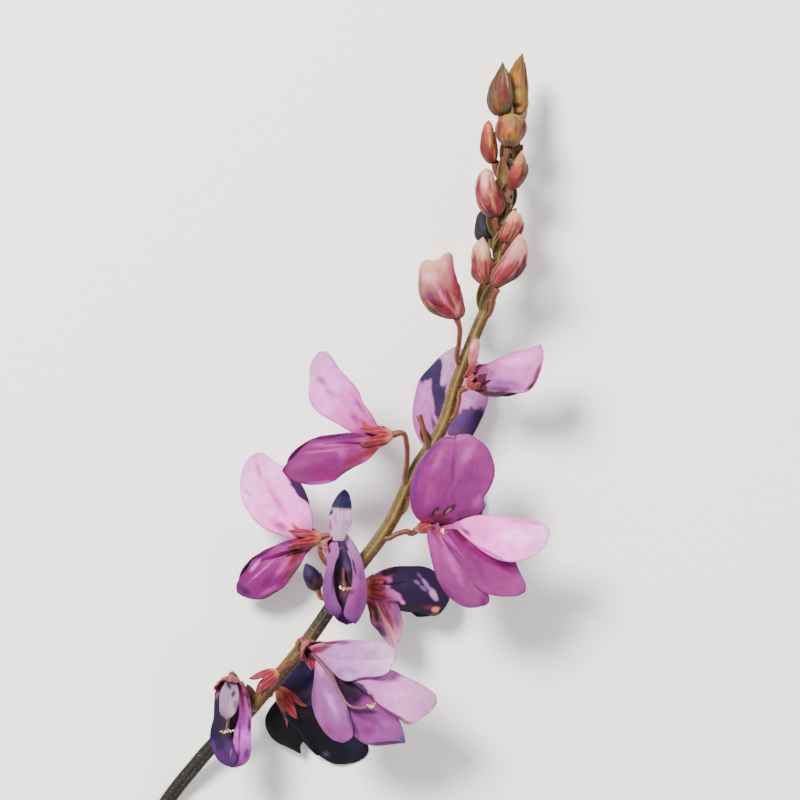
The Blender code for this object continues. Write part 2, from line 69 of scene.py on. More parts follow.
STEM_ROUTE = [
    (-24.9, -48.9, 1.05),
    (-22.6, -45.7, 1.9),
    (-20.4, -43.0, 2.9),
    (-17.8, -40.0, 4.1),
    (-14.2, -36.6, 5.9),
    (-11.0, -32.9, 7.7),
    (-5.9, -26.7, 9.4),
    (-0.4, -18.6, 10.0),
    (4.4, -12.0, 10.2),
    (7.5, -5.4, 10.3),
    (10.9, 0.0, 10.3),
    (12.7, 5.6, 10.3),
    (14.8, 11.1, 10.2),
    (17.0, 16.6, 9.9),
    (18.3, 23.0, 9.5),
    (19.3, 30.5, 9.1),
    (20.1, 38.4, 8.8),
]
STEM_RADIUS_AT_CUT = 0.88
STEM_RADIUS_AT_TIP = 0.62
STEM_TAPER = 1.8
STEM_RIDGES = 5
STEM_SLANT = 1.1

# Points that are nearer to each other than this are one.
TOUCHING = 0.0005


def linear(code):
    """An sRGB hex colour as linear red, green and blue."""
    parts = [int(code[at : at + 2], 16) / 255 for at in (1, 3, 5)]
    return Vector([c / 12.92 if c <= 0.04045 else ((c + 0.055) / 1.055) ** 2.4 for c in parts])


def ease(low, high, value):
    """0 up to low, 1 from high on, and a smooth rise between them."""
    share = min(1, max(0, (value - low) / (high - low)))
    return share * share * (3 - 2 * share)


def colour_at(run, at):
    """The colour at a place on a run of (place, colour) pairs."""
    colour = run[0][1]
    for (low, _before), (high, after) in zip(run, run[1:]):
        colour = colour.lerp(after, ease(low, high, at))
    return colour


def grown_sheet(columns, rows, place, tint, lay=None):
    """A grid whose points are put at place(across, along), and painted tint(across, along)."""
    bm = bmesh.new()
    bmesh.ops.create_grid(bm, x_segments=columns, y_segments=rows, size=0.5)
    layout = bm.loops.layers.uv.new("lay")
    paint = bm.verts.layers.float_color.new("paint")
    for face in bm.faces:
        for loop in face.loops:
            across, along = loop.vert.co.x + 0.5, loop.vert.co.y + 0.5
            loop[layout].uv = lay(across, along) if lay else (across, along)
    for vert in bm.verts:
        across, along = vert.co.x + 0.5, vert.co.y + 0.5
        vert.co = place(across, along)
        vert[paint] = tint(across, along)
    return bm


def closed(bm):
    """Merges the seam and the poles of a rolled sheet, and turns its faces outwards."""
    bmesh.ops.remove_doubles(bm, verts=bm.verts, dist=TOUCHING)
    bmesh.ops.recalc_face_normals(bm, faces=bm.faces)
    return bm


def finished(name, bm, finish, nodes=(), wall=0.0, wall_side=0):
    """Ends the millimetre mesh as a piece that rides on the spray and stands for the nodes."""
    bmesh.ops.translate(bm, vec=-SPRAY_MIDDLE, verts=bm.verts)
    bmesh.ops.scale(bm, vec=(MM, MM, MM), verts=bm.verts)
    mesh = bpy.data.meshes.new(name)
    bm.to_mesh(mesh)
    bm.free()
    mesh.materials.append(finish)
    mesh.shade_smooth()
    piece = bpy.data.objects.new(name, mesh)
    bpy.context.scene.collection.objects.link(piece)
    if wall:
        thicken = piece.modifiers.new("wall", "SOLIDIFY")
        thicken.thickness = wall * MM
        thicken.offset = wall_side
    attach(piece, "root")
    if nodes:
        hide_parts(*nodes)
    return piece


def add(tree, kind, inputs=None, **settings):
    """Adds a shader node with its settings, and sets or links its inputs."""
    made = tree.nodes.new("ShaderNode" + kind)
    for key, value in settings.items():
        setattr(made, key, value)
    for key, value in (inputs or {}).items():
        if isinstance(value, bpy.types.NodeSocket):
            tree.links.new(value, made.inputs[key])
        else:
            made.inputs[key].default_value = value
    return made


PLANT_IOR = 1.45
GLOW_DEPTH = 0.3


def started(name, roughness, sheen=0.0, glow=0.0, gloss=0.5):
    """A new material with its shader's own numbers; glow is the light that passes through."""
    finish = bpy.data.materials.new(name)
    finish.use_nodes = True
    shader = finish.node_tree.nodes["Principled BSDF"]
    shader.inputs["Roughness"].default_value = roughness
    shader.inputs["IOR"].default_value = PLANT_IOR
    shader.inputs["Specular IOR Level"].default_value = gloss
    shader.inputs["Sheen Weight"].default_value = sheen
    shader.inputs["Sheen Roughness"].default_value = 0.45
    shader.inputs["Subsurface Weight"].default_value = glow
    shader.inputs["Subsurface Radius"].default_value = (1.0, 0.55, 0.8)
    shader.inputs["Subsurface Scale"].default_value = GLOW_DEPTH * MM
    return finish, finish.node_tree, shader


def grained(tree, shader, colour, grain, span, values, height, strength, depth, saturation=1.0):
    """Ends a plant finish: the grain shades its colour, and the height roughens its skin.

    The span is the grain's darkest and lightest, the values what they make of the colour's
    value, and the depth of the relief is in mm.
    """
    reach = {"From Min": span[0], "From Max": span[1], "To Min": values[0], "To Max": values[1]}
    value = add(tree, "MapRange", {"Value": grain, **reach})
    toned = add(
        tree,
        "HueSaturation",
        {"Color": colour, "Value": value.outputs["Result"], "Saturation": saturation},
    )
    relief = add(tree, "Bump", {"Height": height, "Strength": strength, "Distance": depth * MM})
    tree.links.new(toned.outputs["Color"], shader.inputs["Base Color"])
    tree.links.new(relief.outputs["Normal"], shader.inputs["Normal"])


# Herb rind: waxy, so a soft gloss. Streaks 0.15 mm wide and a few mm long run up it, over
# blotches a millimetre or two across, and both make shallow furrows.
rind, tree, shader = started("herb rind, waxy", 0.5, sheen=0.03, gloss=0.35)
paint = add(tree, "Attribute", attribute_name="paint")
lay = add(tree, "UVMap", uv_map="lay")
spot = add(tree, "TexCoord")
stretch = add(tree, "VectorMath", {0: lay.outputs["UV"], 1: (34, 0.7, 1)}, operation="MULTIPLY")
streaks = add(tree, "TexNoise", {"Vector": stretch.outputs["Vector"], "Scale": 1, "Detail": 3})
blotches = add(tree, "TexNoise", {"Vector": spot.outputs["Object"], "Scale": 650, "Detail": 4})
both = add(tree, "Math", {0: streaks.outputs["Fac"], 1: blotches.outputs["Fac"]}, operation="ADD")
shade = both.outputs["Value"]
grained(
    tree, shader, paint.outputs["Color"], shade, (0.7, 1.3), (0.62, 1.4), shade, 0.5, 0.08, 1.05
)


HANDLE = 2.56


def smooth_route(knots, steps):
    """Points on the smooth curve through the knots, steps to a span.

    A handle is the span over HANDLE, which keeps the curve between knots near to round.
    """
    knots = [Vector(knot) for knot in knots]
    ways = [(after - before).normalized() for before, after in zip(knots, knots[1:])]
    turns = [ways[0]]
    turns += [(before + after).normalized() for before, after in zip(ways, ways[1:])]
    turns.append(ways[-1])
    points = []
    for start, end, leave, arrive in zip(knots, knots[1:], turns, turns[1:]):
        reach = (end - start).length / HANDLE
        span = interpolate_bezier(start, start + leave * reach, end - arrive * reach, end, steps + 1)
        points += span[:-1]
    return [*points, knots[-1]]


def strand(route, steps, sides, radius, tint, slant=0.0):
    """A closed rod along the route. radius(turn, share) and tint(turn, share) shape and paint it.

    The turn is in radians: 0 is its under side, a quarter turn its right, half its top.
    """
    points = smooth_route(route, steps)
    ways = [(after - before).normalized() for before, after in zip(points, points[1:])]
    ways.append(ways[-1])
    up = Vector((0, 0, 1)) if abs(ways[0].z) < 0.9 else Vector((0, 1, 0))
    ups = []
    lengths = [0.0]
    for way in ways:
        up = (up - way * up.dot(way)).normalized()
        ups.append(up)
    for before, after in zip(points, points[1:]):
        lengths.append(lengths[-1] + (after - before).length)
    last = len(points) - 1

    def ring(along):
        return min(last, max(0, round(along * (last + 2)) - 1))

    def place(across, along):
        at = ring(along)
        turn = 2 * math.pi * across
        out = ways[at].cross(ups[at]) * math.sin(turn) - ups[at] * math.cos(turn)
        share = lengths[at] / lengths[-1]
        away = radius(turn, share)
        if along in (0, 1):
            away = 0
        lean = slant * away * math.cos(turn) * (1 - min(1, share * 12))
        return points[at] + out * away + ways[at] * lean

    def shade(across, along):
        return tint(2 * math.pi * across, lengths[ring(along)] / lengths[-1])

    def lay(across, along):
        return across, lengths[ring(along)]

    return closed(grown_sheet(sides, last + 2, place, shade, lay))


STEM_OLIVE = linear("#50401D")
STEM_LIGHT = linear("#725A26")
STEM_FURROW = linear("#41261A")
STEM_RED = linear("#421611")
STEM_GREEN = linear("#3C4B23")
STEM_PAINTED_SHADE = linear("#060504")


def stem_radius(turn, share):
    round_radius = STEM_RADIUS_AT_CUT + (STEM_RADIUS_AT_TIP - STEM_RADIUS_AT_CUT) * share**STEM_TAPER
    return round_radius * (1 + 0.09 * math.cos(STEM_RIDGES * (turn - math.pi)))


def stem_tint(turn, share):
    ridge = 0.5 + 0.5 * math.cos(STEM_RIDGES * (turn - math.pi))
    colour = STEM_OLIVE.lerp(STEM_LIGHT, 0.7 * ridge**2)
    colour = colour.lerp(STEM_FURROW, 0.55 * (1 - ridge) ** 3)
    right = math.exp(-(((turn - 0.62 * math.pi) / 0.55) ** 2))
    left = math.exp(-(((turn - 1.45 * math.pi) / 0.35) ** 2))
    colour = colour.lerp(STEM_RED, 0.9 * right)
    green = 0.5 + 0.5 * math.sin(41 * share + 2)
    colour = colour.lerp(STEM_GREEN, 0.7 * left * green)
    colour = colour.lerp(STEM_RED, 0.5 * left * (1 - green))
    # Painted shadow: near black in a band a third of the way up, and from the cut end on.
    dark = math.exp(-(((share - 0.345) / 0.045) ** 2)) + 1 - ease(0.12, 0.17, share)
    colour = colour.lerp(STEM_PAINTED_SHADE, 0.97 * min(1, dark))
    # Painted shade: darker on its lower right side, away from the light.
    edge = math.exp(-(((turn - 0.25 * math.pi) / 0.3) ** 2))
    colour = colour.lerp(STEM_PAINTED_SHADE, 0.6 * edge)
    return (*colour, 1)


stem = strand(STEM_ROUTE, 10, 40, stem_radius, stem_tint, slant=STEM_SLANT)
finished("rachis_stem", stem, rind, ["rachis"])

# The pedicels. Thin round stalks that grow out of the stem, one to each flower and bud, with
# the same rind, olive where they leave the stem and red towards the calyx.

# Where each open flower sits: the route of its pedicel, the foot of its calyx, its throat,
# and the tips of its petals and of its stamens.
HEADS = {
    number: dict(
        stalk=stalk, foot=foot, throat=throat, standard=standard, wing_left=wing_left,
        wing_right=wing_right, keel=keel, stamens=stamens,
    )
    for number, (*stalk, foot, throat, standard, wing_left, wing_right, keel, stamens) in enumerate(
        [
            (
                (-12.6, -35.4, 7.2), (-14.0, -33.6, 7.4), (-15.5, -31.6, 9.0), (-15.7, -33.2, 11.2),
                (-15.7, -36.4, 15.4), (-16.7, -41.8, 12.2), (-13.8, -41.8, 12.4), (-15.2, -41.9, 10.8),
                (-15.4, -37.6, 12.9),
            ),
            (
                (-10.6, -33.6, 6.2), (-11.2, -32.2, 5.6), (-9.9, -32.9, 4.7), (-8.2, -35.1, 4.0),
                (-4.8, -26.6, 2.8), (-8.0, -42.0, 1.9), (-1.6, -43.3, 0.5), (-4.6, -41.6, 0.9),
                (-6.2, -38.4, 3.2),
            ),
            (
                (-7.0, -27.9, 9.8), (-7.2, -27.2, 10.2), (-6.3, -27.0, 11.0), (-5.0, -28.1, 13.4),
                (5.0, -28.2, 18.0), (-1.2, -38.9, 16.0), (10.0, -33.8, 16.2), (6.0, -39.0, 14.2),
                (2.3, -34.3, 16.4),
            ),
            (
                (-0.9, -19.9, 9.6), (-0.2, -20.1, 8.5), (0.9, -20.2, 7.4), (2.7, -20.3, 6.6),
                (3.9, -27.4, 9.0), (11.7, -22.4, 5.6), (11.5, -22.5, 1.9), (10.9, -23.2, 3.6),
                (9.0, -19.2, 4.2),
            ),
            (
                (-1.0, -19.6, 10.4), (-2.8, -17.8, 10.3), (-4.3, -15.8, 10.6), (-3.7, -14.9, 11.6),
                (-2.1, -14.8, 14.0), (-1.3, -7.8, 11.8), (-2.6, -23.7, 15.8), (0.7, -23.6, 15.8),
                (-0.8, -24.2, 14.4), (-1.0, -19.6, 16.2),
            ),
            (
                (-2.0, -21.0, 9.4), (-3.0, -18.4, 8.6), (-2.6, -15.4, 8.2), (-4.0, -13.8, 8.0),
                (-6.5, -14.0, 7.6), (-12.0, -3.4, 7.6), (-14.9, -21.3, 4.4), (-14.5, -20.6, 0.4),
                (-13.2, -21.8, 2.6), (-11.6, -17.4, 4.4),
            ),
            (
                (3.9, -13.9, 10.5), (5.4, -13.3, 10.8), (6.8, -13.1, 11.2), (7.6, -12.9, 11.7),
                (10.2, -11.7, 14.0), (13.4, -0.9, 14.2), (16.5, -22.0, 16.6), (24.0, -13.7, 17.6),
                (20.9, -20.4, 15.2), (15.0, -14.6, 16.6),
            ),
            (
                (6.4, -7.2, 10.6), (6.5, -4.0, 12.4), (6.4, -1.8, 13.6), (4.9, -0.9, 14.2),
                (2.4, -1.2, 14.2), (-4.4, 8.8, 15.4), (-8.8, -5.6, 15.2), (-8.4, -5.0, 11.9),
                (-7.3, -6.4, 13.4), (-4.0, -2.2, 14.0),
            ),
            (
                (10.3, -1.4, 9.6), (10.7, -2.0, 8.4), (10.7, -3.6, 6.4), (11.0, -4.2, 4.2),
                (12.5, 10.2, 0.5), (9.4, -12.6, 1.6), (15.4, -12.0, 1.6), (12.4, -13.6, 1.3),
                (12.0, -9.0, 2.6),
            ),
            (
                (11.9, 1.0, 10.4), (12.9, 3.0, 11.0), (13.9, 4.9, 11.5), (15.4, 6.0, 12.4),
                (15.5, 11.3, 13.8), (23.2, 9.4, 14.0), (22.8, 8.6, 10.8), (21.8, 5.8, 12.4),
                (19.8, 8.0, 11.8),
            ),
        ],
        1,
    )
}

# Where each bud sits: the route of its pedicel, its foot and its tip, and how wide it is.
BUDS = {
    number: dict(stalk=stalk, foot=foot, tip=tip, radius=radius)
    for number, (*stalk, foot, tip, radius) in enumerate(
        [
            ((12.9, 8.2, 10.8), (13.0, 10.8, 12.0), (12.7, 13.4, 12.8), (10.0, 21.6, 13.8), 2.25),
            ((16.2, 14.2, 10.2), (16.4, 15.6, 10.8), (16.6, 17.5, 11.0), (15.6, 23.6, 11.2), 1.1),
            ((16.3, 13.8, 10.2), (17.2, 15.2, 11.4), (17.7, 17.0, 12.4), (20.6, 23.9, 14.0), 1.7),
            ((18.1, 20.6, 9.7), (18.5, 21.8, 10.2), (18.8, 22.9, 11.1), (20.4, 27.4, 11.9), 1.35),
            ((18.5, 23.4, 9.6), (18.2, 24.6, 10.2), (17.5, 26.0, 10.8), (16.1, 32.1, 11.5), 1.5),
            ((18.2, 21.6, 9.3), (17.5, 22.4, 8.7), (16.6, 23.8, 8.1), (15.3, 27.0, 7.7), 1.1),
            ((19.1, 27.4, 9.5), (19.3, 28.3, 10.0), (19.3, 29.4, 10.9), (21.2, 34.4, 11.7), 1.35),
            ((19.3, 30.2, 9.1), (18.5, 31.2, 9.2), (17.5, 32.7, 9.2), (16.3, 38.3, 9.2), 1.05),
            ((19.6, 32.2, 9.2), (19.4, 33.2, 10.2), (19.0, 34.5, 11.2), (19.4, 40.0, 12.4), 1.7),
            ((19.9, 36.8, 8.9), (19.2, 37.8, 9.3), (18.3, 39.2, 9.8), (18.3, 45.6, 10.6), 1.3),
            ((20.0, 37.6, 8.8), (20.2, 38.6, 8.5), (20.4, 39.8, 8.1), (20.9, 46.8, 7.7), 1.3),
            ((18.0, 19.6, 9.4), (18.4, 20.6, 8.6), (18.9, 22.2, 7.7), (20.2, 27.2, 6.5), 1.25),
            ((19.0, 26.8, 9.0), (19.0, 27.8, 8.4), (19.1, 29.4, 7.5), (19.2, 33.6, 6.2), 1.1),
            ((19.5, 32.0, 8.9), (19.6, 33.0, 8.2), (19.7, 34.7, 7.3), (19.8, 38.8, 6.2), 1.0),
            ((-2.6, -21.8, 9.6), (-3.6, -21.4, 9.6), (-4.6, -20.4, 9.7), (-6.2, -17.0, 10.2), 1.1),
        ],
        1,
    )
}

WITHERED = dict(
    stalk=[(-8.4, -29.8, 8.8), (-8.0, -29.4, 9.9)], foot=(-9.5, -30.4, 10.6), tip=(-11.5, -31.8, 11.0)
)
BARE_STALK = [(9.2, -2.6, 10.9), (8.6, -0.4, 11.7), (8.0, 1.5, 12.1)]

STALK_RADIUS = 0.34
STALK_LEAD = 1.1
STALK_SUNK = 0.25
STALK_OLIVE = linear("#4C3722")
STALK_RED = linear("#572822")
STALK_PALE = linear("#8B5940")


def nearest_on_stem(place):
    """The point of the stem's middle line that is nearest to the place."""
    found = []
    for start, end in zip(STEM_ROUTE, STEM_ROUTE[1:]):
        point, share = intersect_point_line(place, start, end)
        if share < 0:
            point = Vector(start)
        if share > 1:
            point = Vector(end)
        found.append(point)
    return min(found, key=lambda point: (point - Vector(place)).length)


def stalk_radius(turn, share):
    foot = 0.14 * (1 - ease(0, 0.25, share))
    neck = 0.10 * ease(0.8, 1, share)
    return (STALK_RADIUS + foot + neck) * (1 + 0.05 * math.cos(4 * turn))


def stalk_tint(turn, share):
    colour = STALK_OLIVE.lerp(STALK_RED, ease(0.1, 0.7, share))
    light = max(0, math.cos(4 * turn)) ** 2
    return (*colour.lerp(STALK_PALE, 0.45 * light), 1)


def gathered(whole, one):
    """Adds a mesh to the one that gathers its like, and frees it."""
    spare = bpy.data.meshes.new("spare")
    one.to_mesh(spare)
    one.free()
    whole.from_mesh(spare)
    bpy.data.meshes.remove(spare)


stalks = []
for owner in [*HEADS.values(), *BUDS.values(), WITHERED]:
    foot = Vector(owner["foot"])
    ahead = (Vector(owner.get("throat", owner.get("tip"))) - foot).normalized()
    route = [nearest_on_stem(owner["stalk"][0]), *owner["stalk"], foot - ahead * STALK_LEAD]
    stalks.append([*route, foot + ahead * STALK_SUNK])
stalks.append([nearest_on_stem(BARE_STALK[0]), *BARE_STALK])
pedicels = bmesh.new()
for route in stalks:
    gathered(pedicels, strand(route, 5, 12, stalk_radius, stalk_tint))
finished("pedicels", pedicels, rind, ["rachis"])

# The bracts. Small pointed scales, one leaf's thickness, that grow at the nodes of the stem.

BRACTS = [
    ((5.0, -11.2, 10.2), (6.8, -8.6, 10.9), "#374421", 1.3),
    ((9.2, -2.2, 10.4), (8.2, 0.2, 11.0), "#381D17", 1.0),
    ((17.4, 18.2, 9.8), (19.2, 21.0, 10.6), "#4B4C27", 1.0),
    # This bract lies in the stem's band of painted shadow and is painted as dark: painted shadow.
    ((-2.8, -22.4, 9.8), (-4.0, -20.2, 10.9), "#271A14", 1.0),
    ((-12.6, -34.6, 7.2), (-13.6, -32.2, 7.9), "#4B231A", 1.0),
    ((18.5, 25.0, 9.4), (20.2, 27.4, 9.1), "#495024", 1.0),
    ((18.9, 28.6, 9.2), (17.6, 31.0, 9.9), "#545026", 1.0),
    ((19.5, 33.0, 9.0), (21.0, 35.4, 9.3), "#4F5325", 1.0),
    ((19.9, 36.6, 8.9), (21.3, 38.8, 9.6), "#4B5827", 1.0),
    ((17.1, 16.9, 10.3), (17.8, 20.9, 10.8), "#675832", 1.5),
    ((17.9, 20.5, 10.1), (18.0, 24.6, 10.4), "#6F5C3A", 1.4),
    ((18.0, 25.0, 10.0), (18.4, 29.6, 10.2), "#574C2A", 1.5),
    ((18.6, 28.9, 9.9), (18.4, 33.9, 10.0), "#615432", 1.5),
    ((19.0, 33.0, 9.7), (18.9, 36.4, 9.9), "#4A2D1E", 1.3),
    ((18.9, 37.6, 9.8), (19.3, 40.8, 9.9), "#544C24", 1.3),
]
BRACT_TIP = linear("#642F23")
BRACT_WALL = 0.16
BRACT_HALF = 0.55
BRACT_CUP = 0.35
BRACT_CURL = 0.25
UNDER_A_BUD = 1.5

# One more grows under each bud of the spike and leans on it.
for number in range(2, 15):
    root = nearest_on_stem(BUDS[number]["stalk"][0])
    foot = Vector(BUDS[number]["foot"])
    ahead = (Vector(BUDS[number]["tip"]) - foot).normalized()
    beside = (foot - root).cross(ahead).normalized()
    tip = foot + ahead * 1.0 + beside * 0.9
    BRACTS.append((root, tip, "#4B4D29" if number % 2 else "#414823", UNDER_A_BUD))

bracts = bmesh.new()
for foot, tip, code, width in BRACTS:
    foot = Vector(foot)
    way = Vector(tip) - foot
    side = way.cross(Vector((0, 0, 1))).normalized()
    lift = side.cross(way).normalized()
    colour = linear(code)

    def place(across, along):
        a = 2 * across - 1
        half = BRACT_HALF * width * math.sin(math.pi * (0.12 + 0.88 * along)) ** 0.8
        cup = BRACT_CUP * width * (a * a - 0.5) * math.sin(math.pi * along)
        return foot + way * along + side * a * half + lift * (cup + BRACT_CURL * along * along)

    def tint(_across, along):
        return (*colour.lerp(BRACT_TIP, 0.6 * along), 1)

    one = grown_sheet(8, 10, place, tint)
    bmesh.ops.remove_doubles(one, verts=one.verts, dist=TOUCHING)
    gathered(bracts, one)
finished("bracts", bracts, rind, ["rachis"], wall=BRACT_WALL)

# The calyces. Thin bells of five joined sepals, red with paler stripes between their nerves,
# each grown on its pedicel and holding the claws of its petals.

CALYX_WALL = 0.14
LOBES = 5
NERVES = 3 * LOBES

# How each calyx is drawn: its radius, the length of its lobes beyond the mouth, how far they
# lean outwards in degrees, how much the lowest lobe outgrows the others, how far round the
# mouth the lobes are turned in degrees, and how much painted shade darkens its lower side.
CALYX_LOBES = {
    1: (1.85, 0.5, 8, 0.0, 20, 0.3),
    2: (1.35, 1.6, -4, 0.5, 0, 0.4),
    3: (1.2, 0.9, 30, 0.2, 55, 0.3),
    4: (1.75, 0.7, -6, 0.2, 0, 0.3),
    5: (1.3, 0.3, 6, 0.2, 0, 0.6),
    6: (1.35, 1.9, -6, 0.6, 0, 0.9),
    7: (1.1, 0.4, 0, 0.3, 0, 0.6),
    8: (1.35, 1.9, -6, 0.6, 0, 0.9),
    9: (1.3, 0.8, 20, 0.0, 0, 0.2),
    10: (1.15, 0.5, -8, 0.3, 0, 1.0),
}
CALYX_KNOB = linear("#BA6E4A")
CALYX_RED = linear("#700D1B")
CALYX_TIP = linear("#6A1E30")
CALYX_STRIPE = linear("#B84055")
CALYX_NERVE = linear("#4E111A")
CALYX_SHADE = linear("#2E1612")

# Calyx skin: thin green-red tissue under short down, so matt with a faint sheen. Its nerves
# are in the paint; grains 0.1 mm across break the colour and roughen the skin.
calyx_skin, tree, shader = started("calyx skin, downy", 0.62, sheen=0.08, glow=0.1, gloss=0.3)
paint = add(tree, "Attribute", attribute_name="paint")
spot = add(tree, "TexCoord")
grain = add(tree, "TexNoise", {"Vector": spot.outputs["Object"], "Scale": 2600, "Detail": 4})
patches = add(tree, "TexNoise", {"Vector": spot.outputs["Object"], "Scale": 900, "Detail": 2})
both = add(tree, "Math", {0: grain.outputs["Fac"], 1: patches.outputs["Fac"]}, operation="ADD")
shade = both.outputs["Value"]
grained(tree, shader, paint.outputs["Color"], shade, (0.7, 1.3), (0.78, 1.22), shade, 0.5, 0.06)


def sepal_bell(foot, mouth, lowest, radius, lobe, lean, outgrow, round_by, dark):
    """A bell from foot to mouth with five pointed lobes, the longest on its lowest side."""
    foot = Vector(foot)
    axis = Vector(mouth) - foot
    length = axis.length
    axis.normalize()
    lowest = (lowest - axis * lowest.dot(axis)).normalized()
    side = axis.cross(lowest)
    lean = math.radians(lean)
    round_by = math.radians(round_by)

    def edge(turn):
        place = (turn * LOBES / (2 * math.pi)) % 1
        return abs(place - 0.5) * 2

    def place(across, along):
        turn = 2 * math.pi * across
        whole = turn + round_by
        out = lowest * math.cos(whole) + side * math.sin(whole)
        point = edge(turn) ** 0.6
        longer = 1 + outgrow * max(0, math.cos(turn))
        rim = 0.78 * length + (0.22 * length + lobe * longer) * point
        height = rim * along
        rib = 1 + 0.035 * math.cos(NERVES * turn)
        wide = radius * math.sin(math.pi / 2 * min(1, height / length)) ** 0.55 * rib
        beyond = max(0, height - 0.8 * length)
        curl = lean + 0.12 * beyond
        wide += beyond * math.sin(curl)
        height = min(height, 0.8 * length) + beyond * math.cos(curl)
        return foot + axis * height + out * wide

    def tint(across, along):
        turn = 2 * math.pi * across
        colour = CALYX_KNOB.lerp(CALYX_RED, ease(0.12, 0.4, along))
        colour = colour.lerp(CALYX_TIP, ease(0.7, 1, along))
        stripe = 0.5 - 0.5 * math.cos(NERVES * turn)
        colour = colour.lerp(CALYX_STRIPE, 0.42 * stripe**2 * ease(0.1, 0.3, along))
        nerve = (0.5 + 0.5 * math.cos(NERVES * turn)) ** 4
        colour = colour.lerp(CALYX_NERVE, 0.6 * nerve * ease(0.15, 0.4, along))
        # Painted shade: the lower side, away from the light, is darkened towards CALYX_SHADE.
        under = max(0, math.cos(turn)) ** 2 * ease(0.1, 0.5, along)
        return (*colour.lerp(CALYX_SHADE, 0.85 * dark * under), 1)

    return closed(grown_sheet(60, 18, place, tint))


def throat_axes(head):
    """A flower's throat, the calyx's axis there, and the way up from it to the standard."""
    throat = Vector(head["throat"])
    axis = (throat - Vector(head["foot"])).normalized()
    up = Vector(head["standard"]) - Vector(head["keel"])
    return throat, axis, (up - axis * up.dot(axis)).normalized()


for number, head in HEADS.items():
    throat, axis, up = throat_axes(head)
    mouth = Vector(head["foot"]).lerp(throat, 0.9)
    bell = sepal_bell(head["foot"], mouth, -up, *CALYX_LOBES[number])
    name = f"flower_{number:02d}_calyx"
    finished(name + "_sepals", bell, calyx_skin, [name], wall=CALYX_WALL, wall_side=-1)

bell = sepal_bell(WITHERED["foot"], WITHERED["tip"], Vector((0, -0.4, -1)), 1.3, 1.0, 2, 0.3, 0, 0.3)
finished(
    "withered_calyx_sepals", bell, calyx_skin, ["withered_calyx"], wall=CALYX_WALL, wall_side=-1
)

# The standards. The broad upper petal of each flower: thin tissue on a narrow claw, shallowly
# domed or folded along its middle, with a fine margin that waves a little.

LOWEST = SPRAY_MIDDLE.z + 0.15
PETAL_WALL = 0.16
CLAW_WIDTH = 1.7
CLAW_SHARE = 0.08
CLAW_DEPTH = 1.3

# Petal tissue: smooth and satin. Veins 0.1 mm wide fan out from the claw and a net of fine
# ones joins them, darker than the tissue; light passes through it and softens its shade.
petal_tissue, tree, shader = started("petal tissue, satin", 0.58, sheen=0.02, glow=0.2, gloss=0.18)
paint = add(tree, "Attribute", attribute_name="paint")
lay = add(tree, "UVMap", uv_map="lay")
spot = add(tree, "TexCoord")
wobble = add(tree, "TexNoise", {"Vector": spot.outputs["Object"], "Scale": 380, "Detail": 4})
shift = add(tree, "VectorMath", {0: wobble.outputs["Color"], 1: (0.2, 0, 0)}, operation="MULTIPLY")
bent = add(tree, "VectorMath", {0: lay.outputs["UV"], 1: shift.outputs["Vector"]}, operation="ADD")
# The wave texture draws 20 / (2 pi) bands to a unit at scale 1, and a petal is one unit wide.
VEINS_TO_A_PETAL = 11
fan = add(
    tree,
    "TexWave",
    {"Vector": bent.outputs["Vector"], "Scale": VEINS_TO_A_PETAL * 2 * math.pi / 20},
    bands_direction="X",
)
main_veins = add(
    tree,
    "MapRange",
    {"Value": fan.outputs["Fac"], "From Min": 0.75, "From Max": 1.0},
    interpolation_type="SMOOTHSTEP",
)
net = add(
    tree,
    "TexVoronoi",
    {"Vector": spot.outputs["Object"], "Scale": 1500},
    feature="DISTANCE_TO_EDGE",
)
net_lines = add(
    tree,
    "MapRange",
    {"Value": net.outputs["Distance"], "From Min": 0, "From Max": 0.1, "To Min": 0.55, "To Max": 0},
)
veins = add(
    tree, "Math", {0: main_veins.outputs["Result"], 1: net_lines.outputs["Result"]}, operation="MAXIMUM"
)
vein_depth = add(
    tree, "Math", {0: veins.outputs["Value"], 1: paint.outputs["Alpha"]}, operation="MULTIPLY"
)
darker = add(
    tree,
    "Mix",
    {0: 1.0, 6: paint.outputs["Color"], 7: (0.66, 0.40, 0.66, 1)},
    data_type="RGBA",
    blend_type="MULTIPLY",
)
veined = add(
    tree,
    "Mix",
    {0: vein_depth.outputs["Value"], 6: paint.outputs["Color"], 7: darker.outputs[2]},
    data_type="RGBA",
)
bloom = add(tree, "TexNoise", {"Vector": spot.outputs["Object"], "Scale": 900, "Detail": 7})
height = add(tree, "Math", {0: vein_depth.outputs["Value"], 1: bloom.outputs["Fac"]}, operation="ADD")
grained(
    tree, shader, veined.outputs[2], bloom.outputs["Fac"], (0.3, 0.7), (0.86, 1.12),
    height.outputs["Value"], 0.35, 0.08,
)


def painted(*run, veins=0.22):
    """A painter of a petal through (place from claw to tip, colour) pairs, darker at its edge with painted
    shade.
    """
    stops = [(at, linear(code)) for at, code in run]

    def tint(across, along):
        margin = max(abs(2 * across - 1), along)
        colour = colour_at(stops, along) * (1 - 0.3 * ease(0.9, 1, margin))
        return (*colour, veins * (1 - 0.6 * ease(0.8, 1, margin)))

    return tint


def evenly(knots):
    """The smooth line through the knots, as a function that gives its point at a share of it."""
    points = smooth_route([(*knot, 0) for knot in knots], 6)
    lengths = [0.0]
    for before, after in zip(points, points[1:]):
        lengths.append(lengths[-1] + (after - before).length)

    def at(share):
        index = bisect.bisect_left(lengths, share * lengths[-1], 1, len(points) - 1)
        low, high = lengths[index - 1], lengths[index]
        return points[index - 1].lerp(points[index], (share * lengths[-1] - low) / (high - low))

    return at


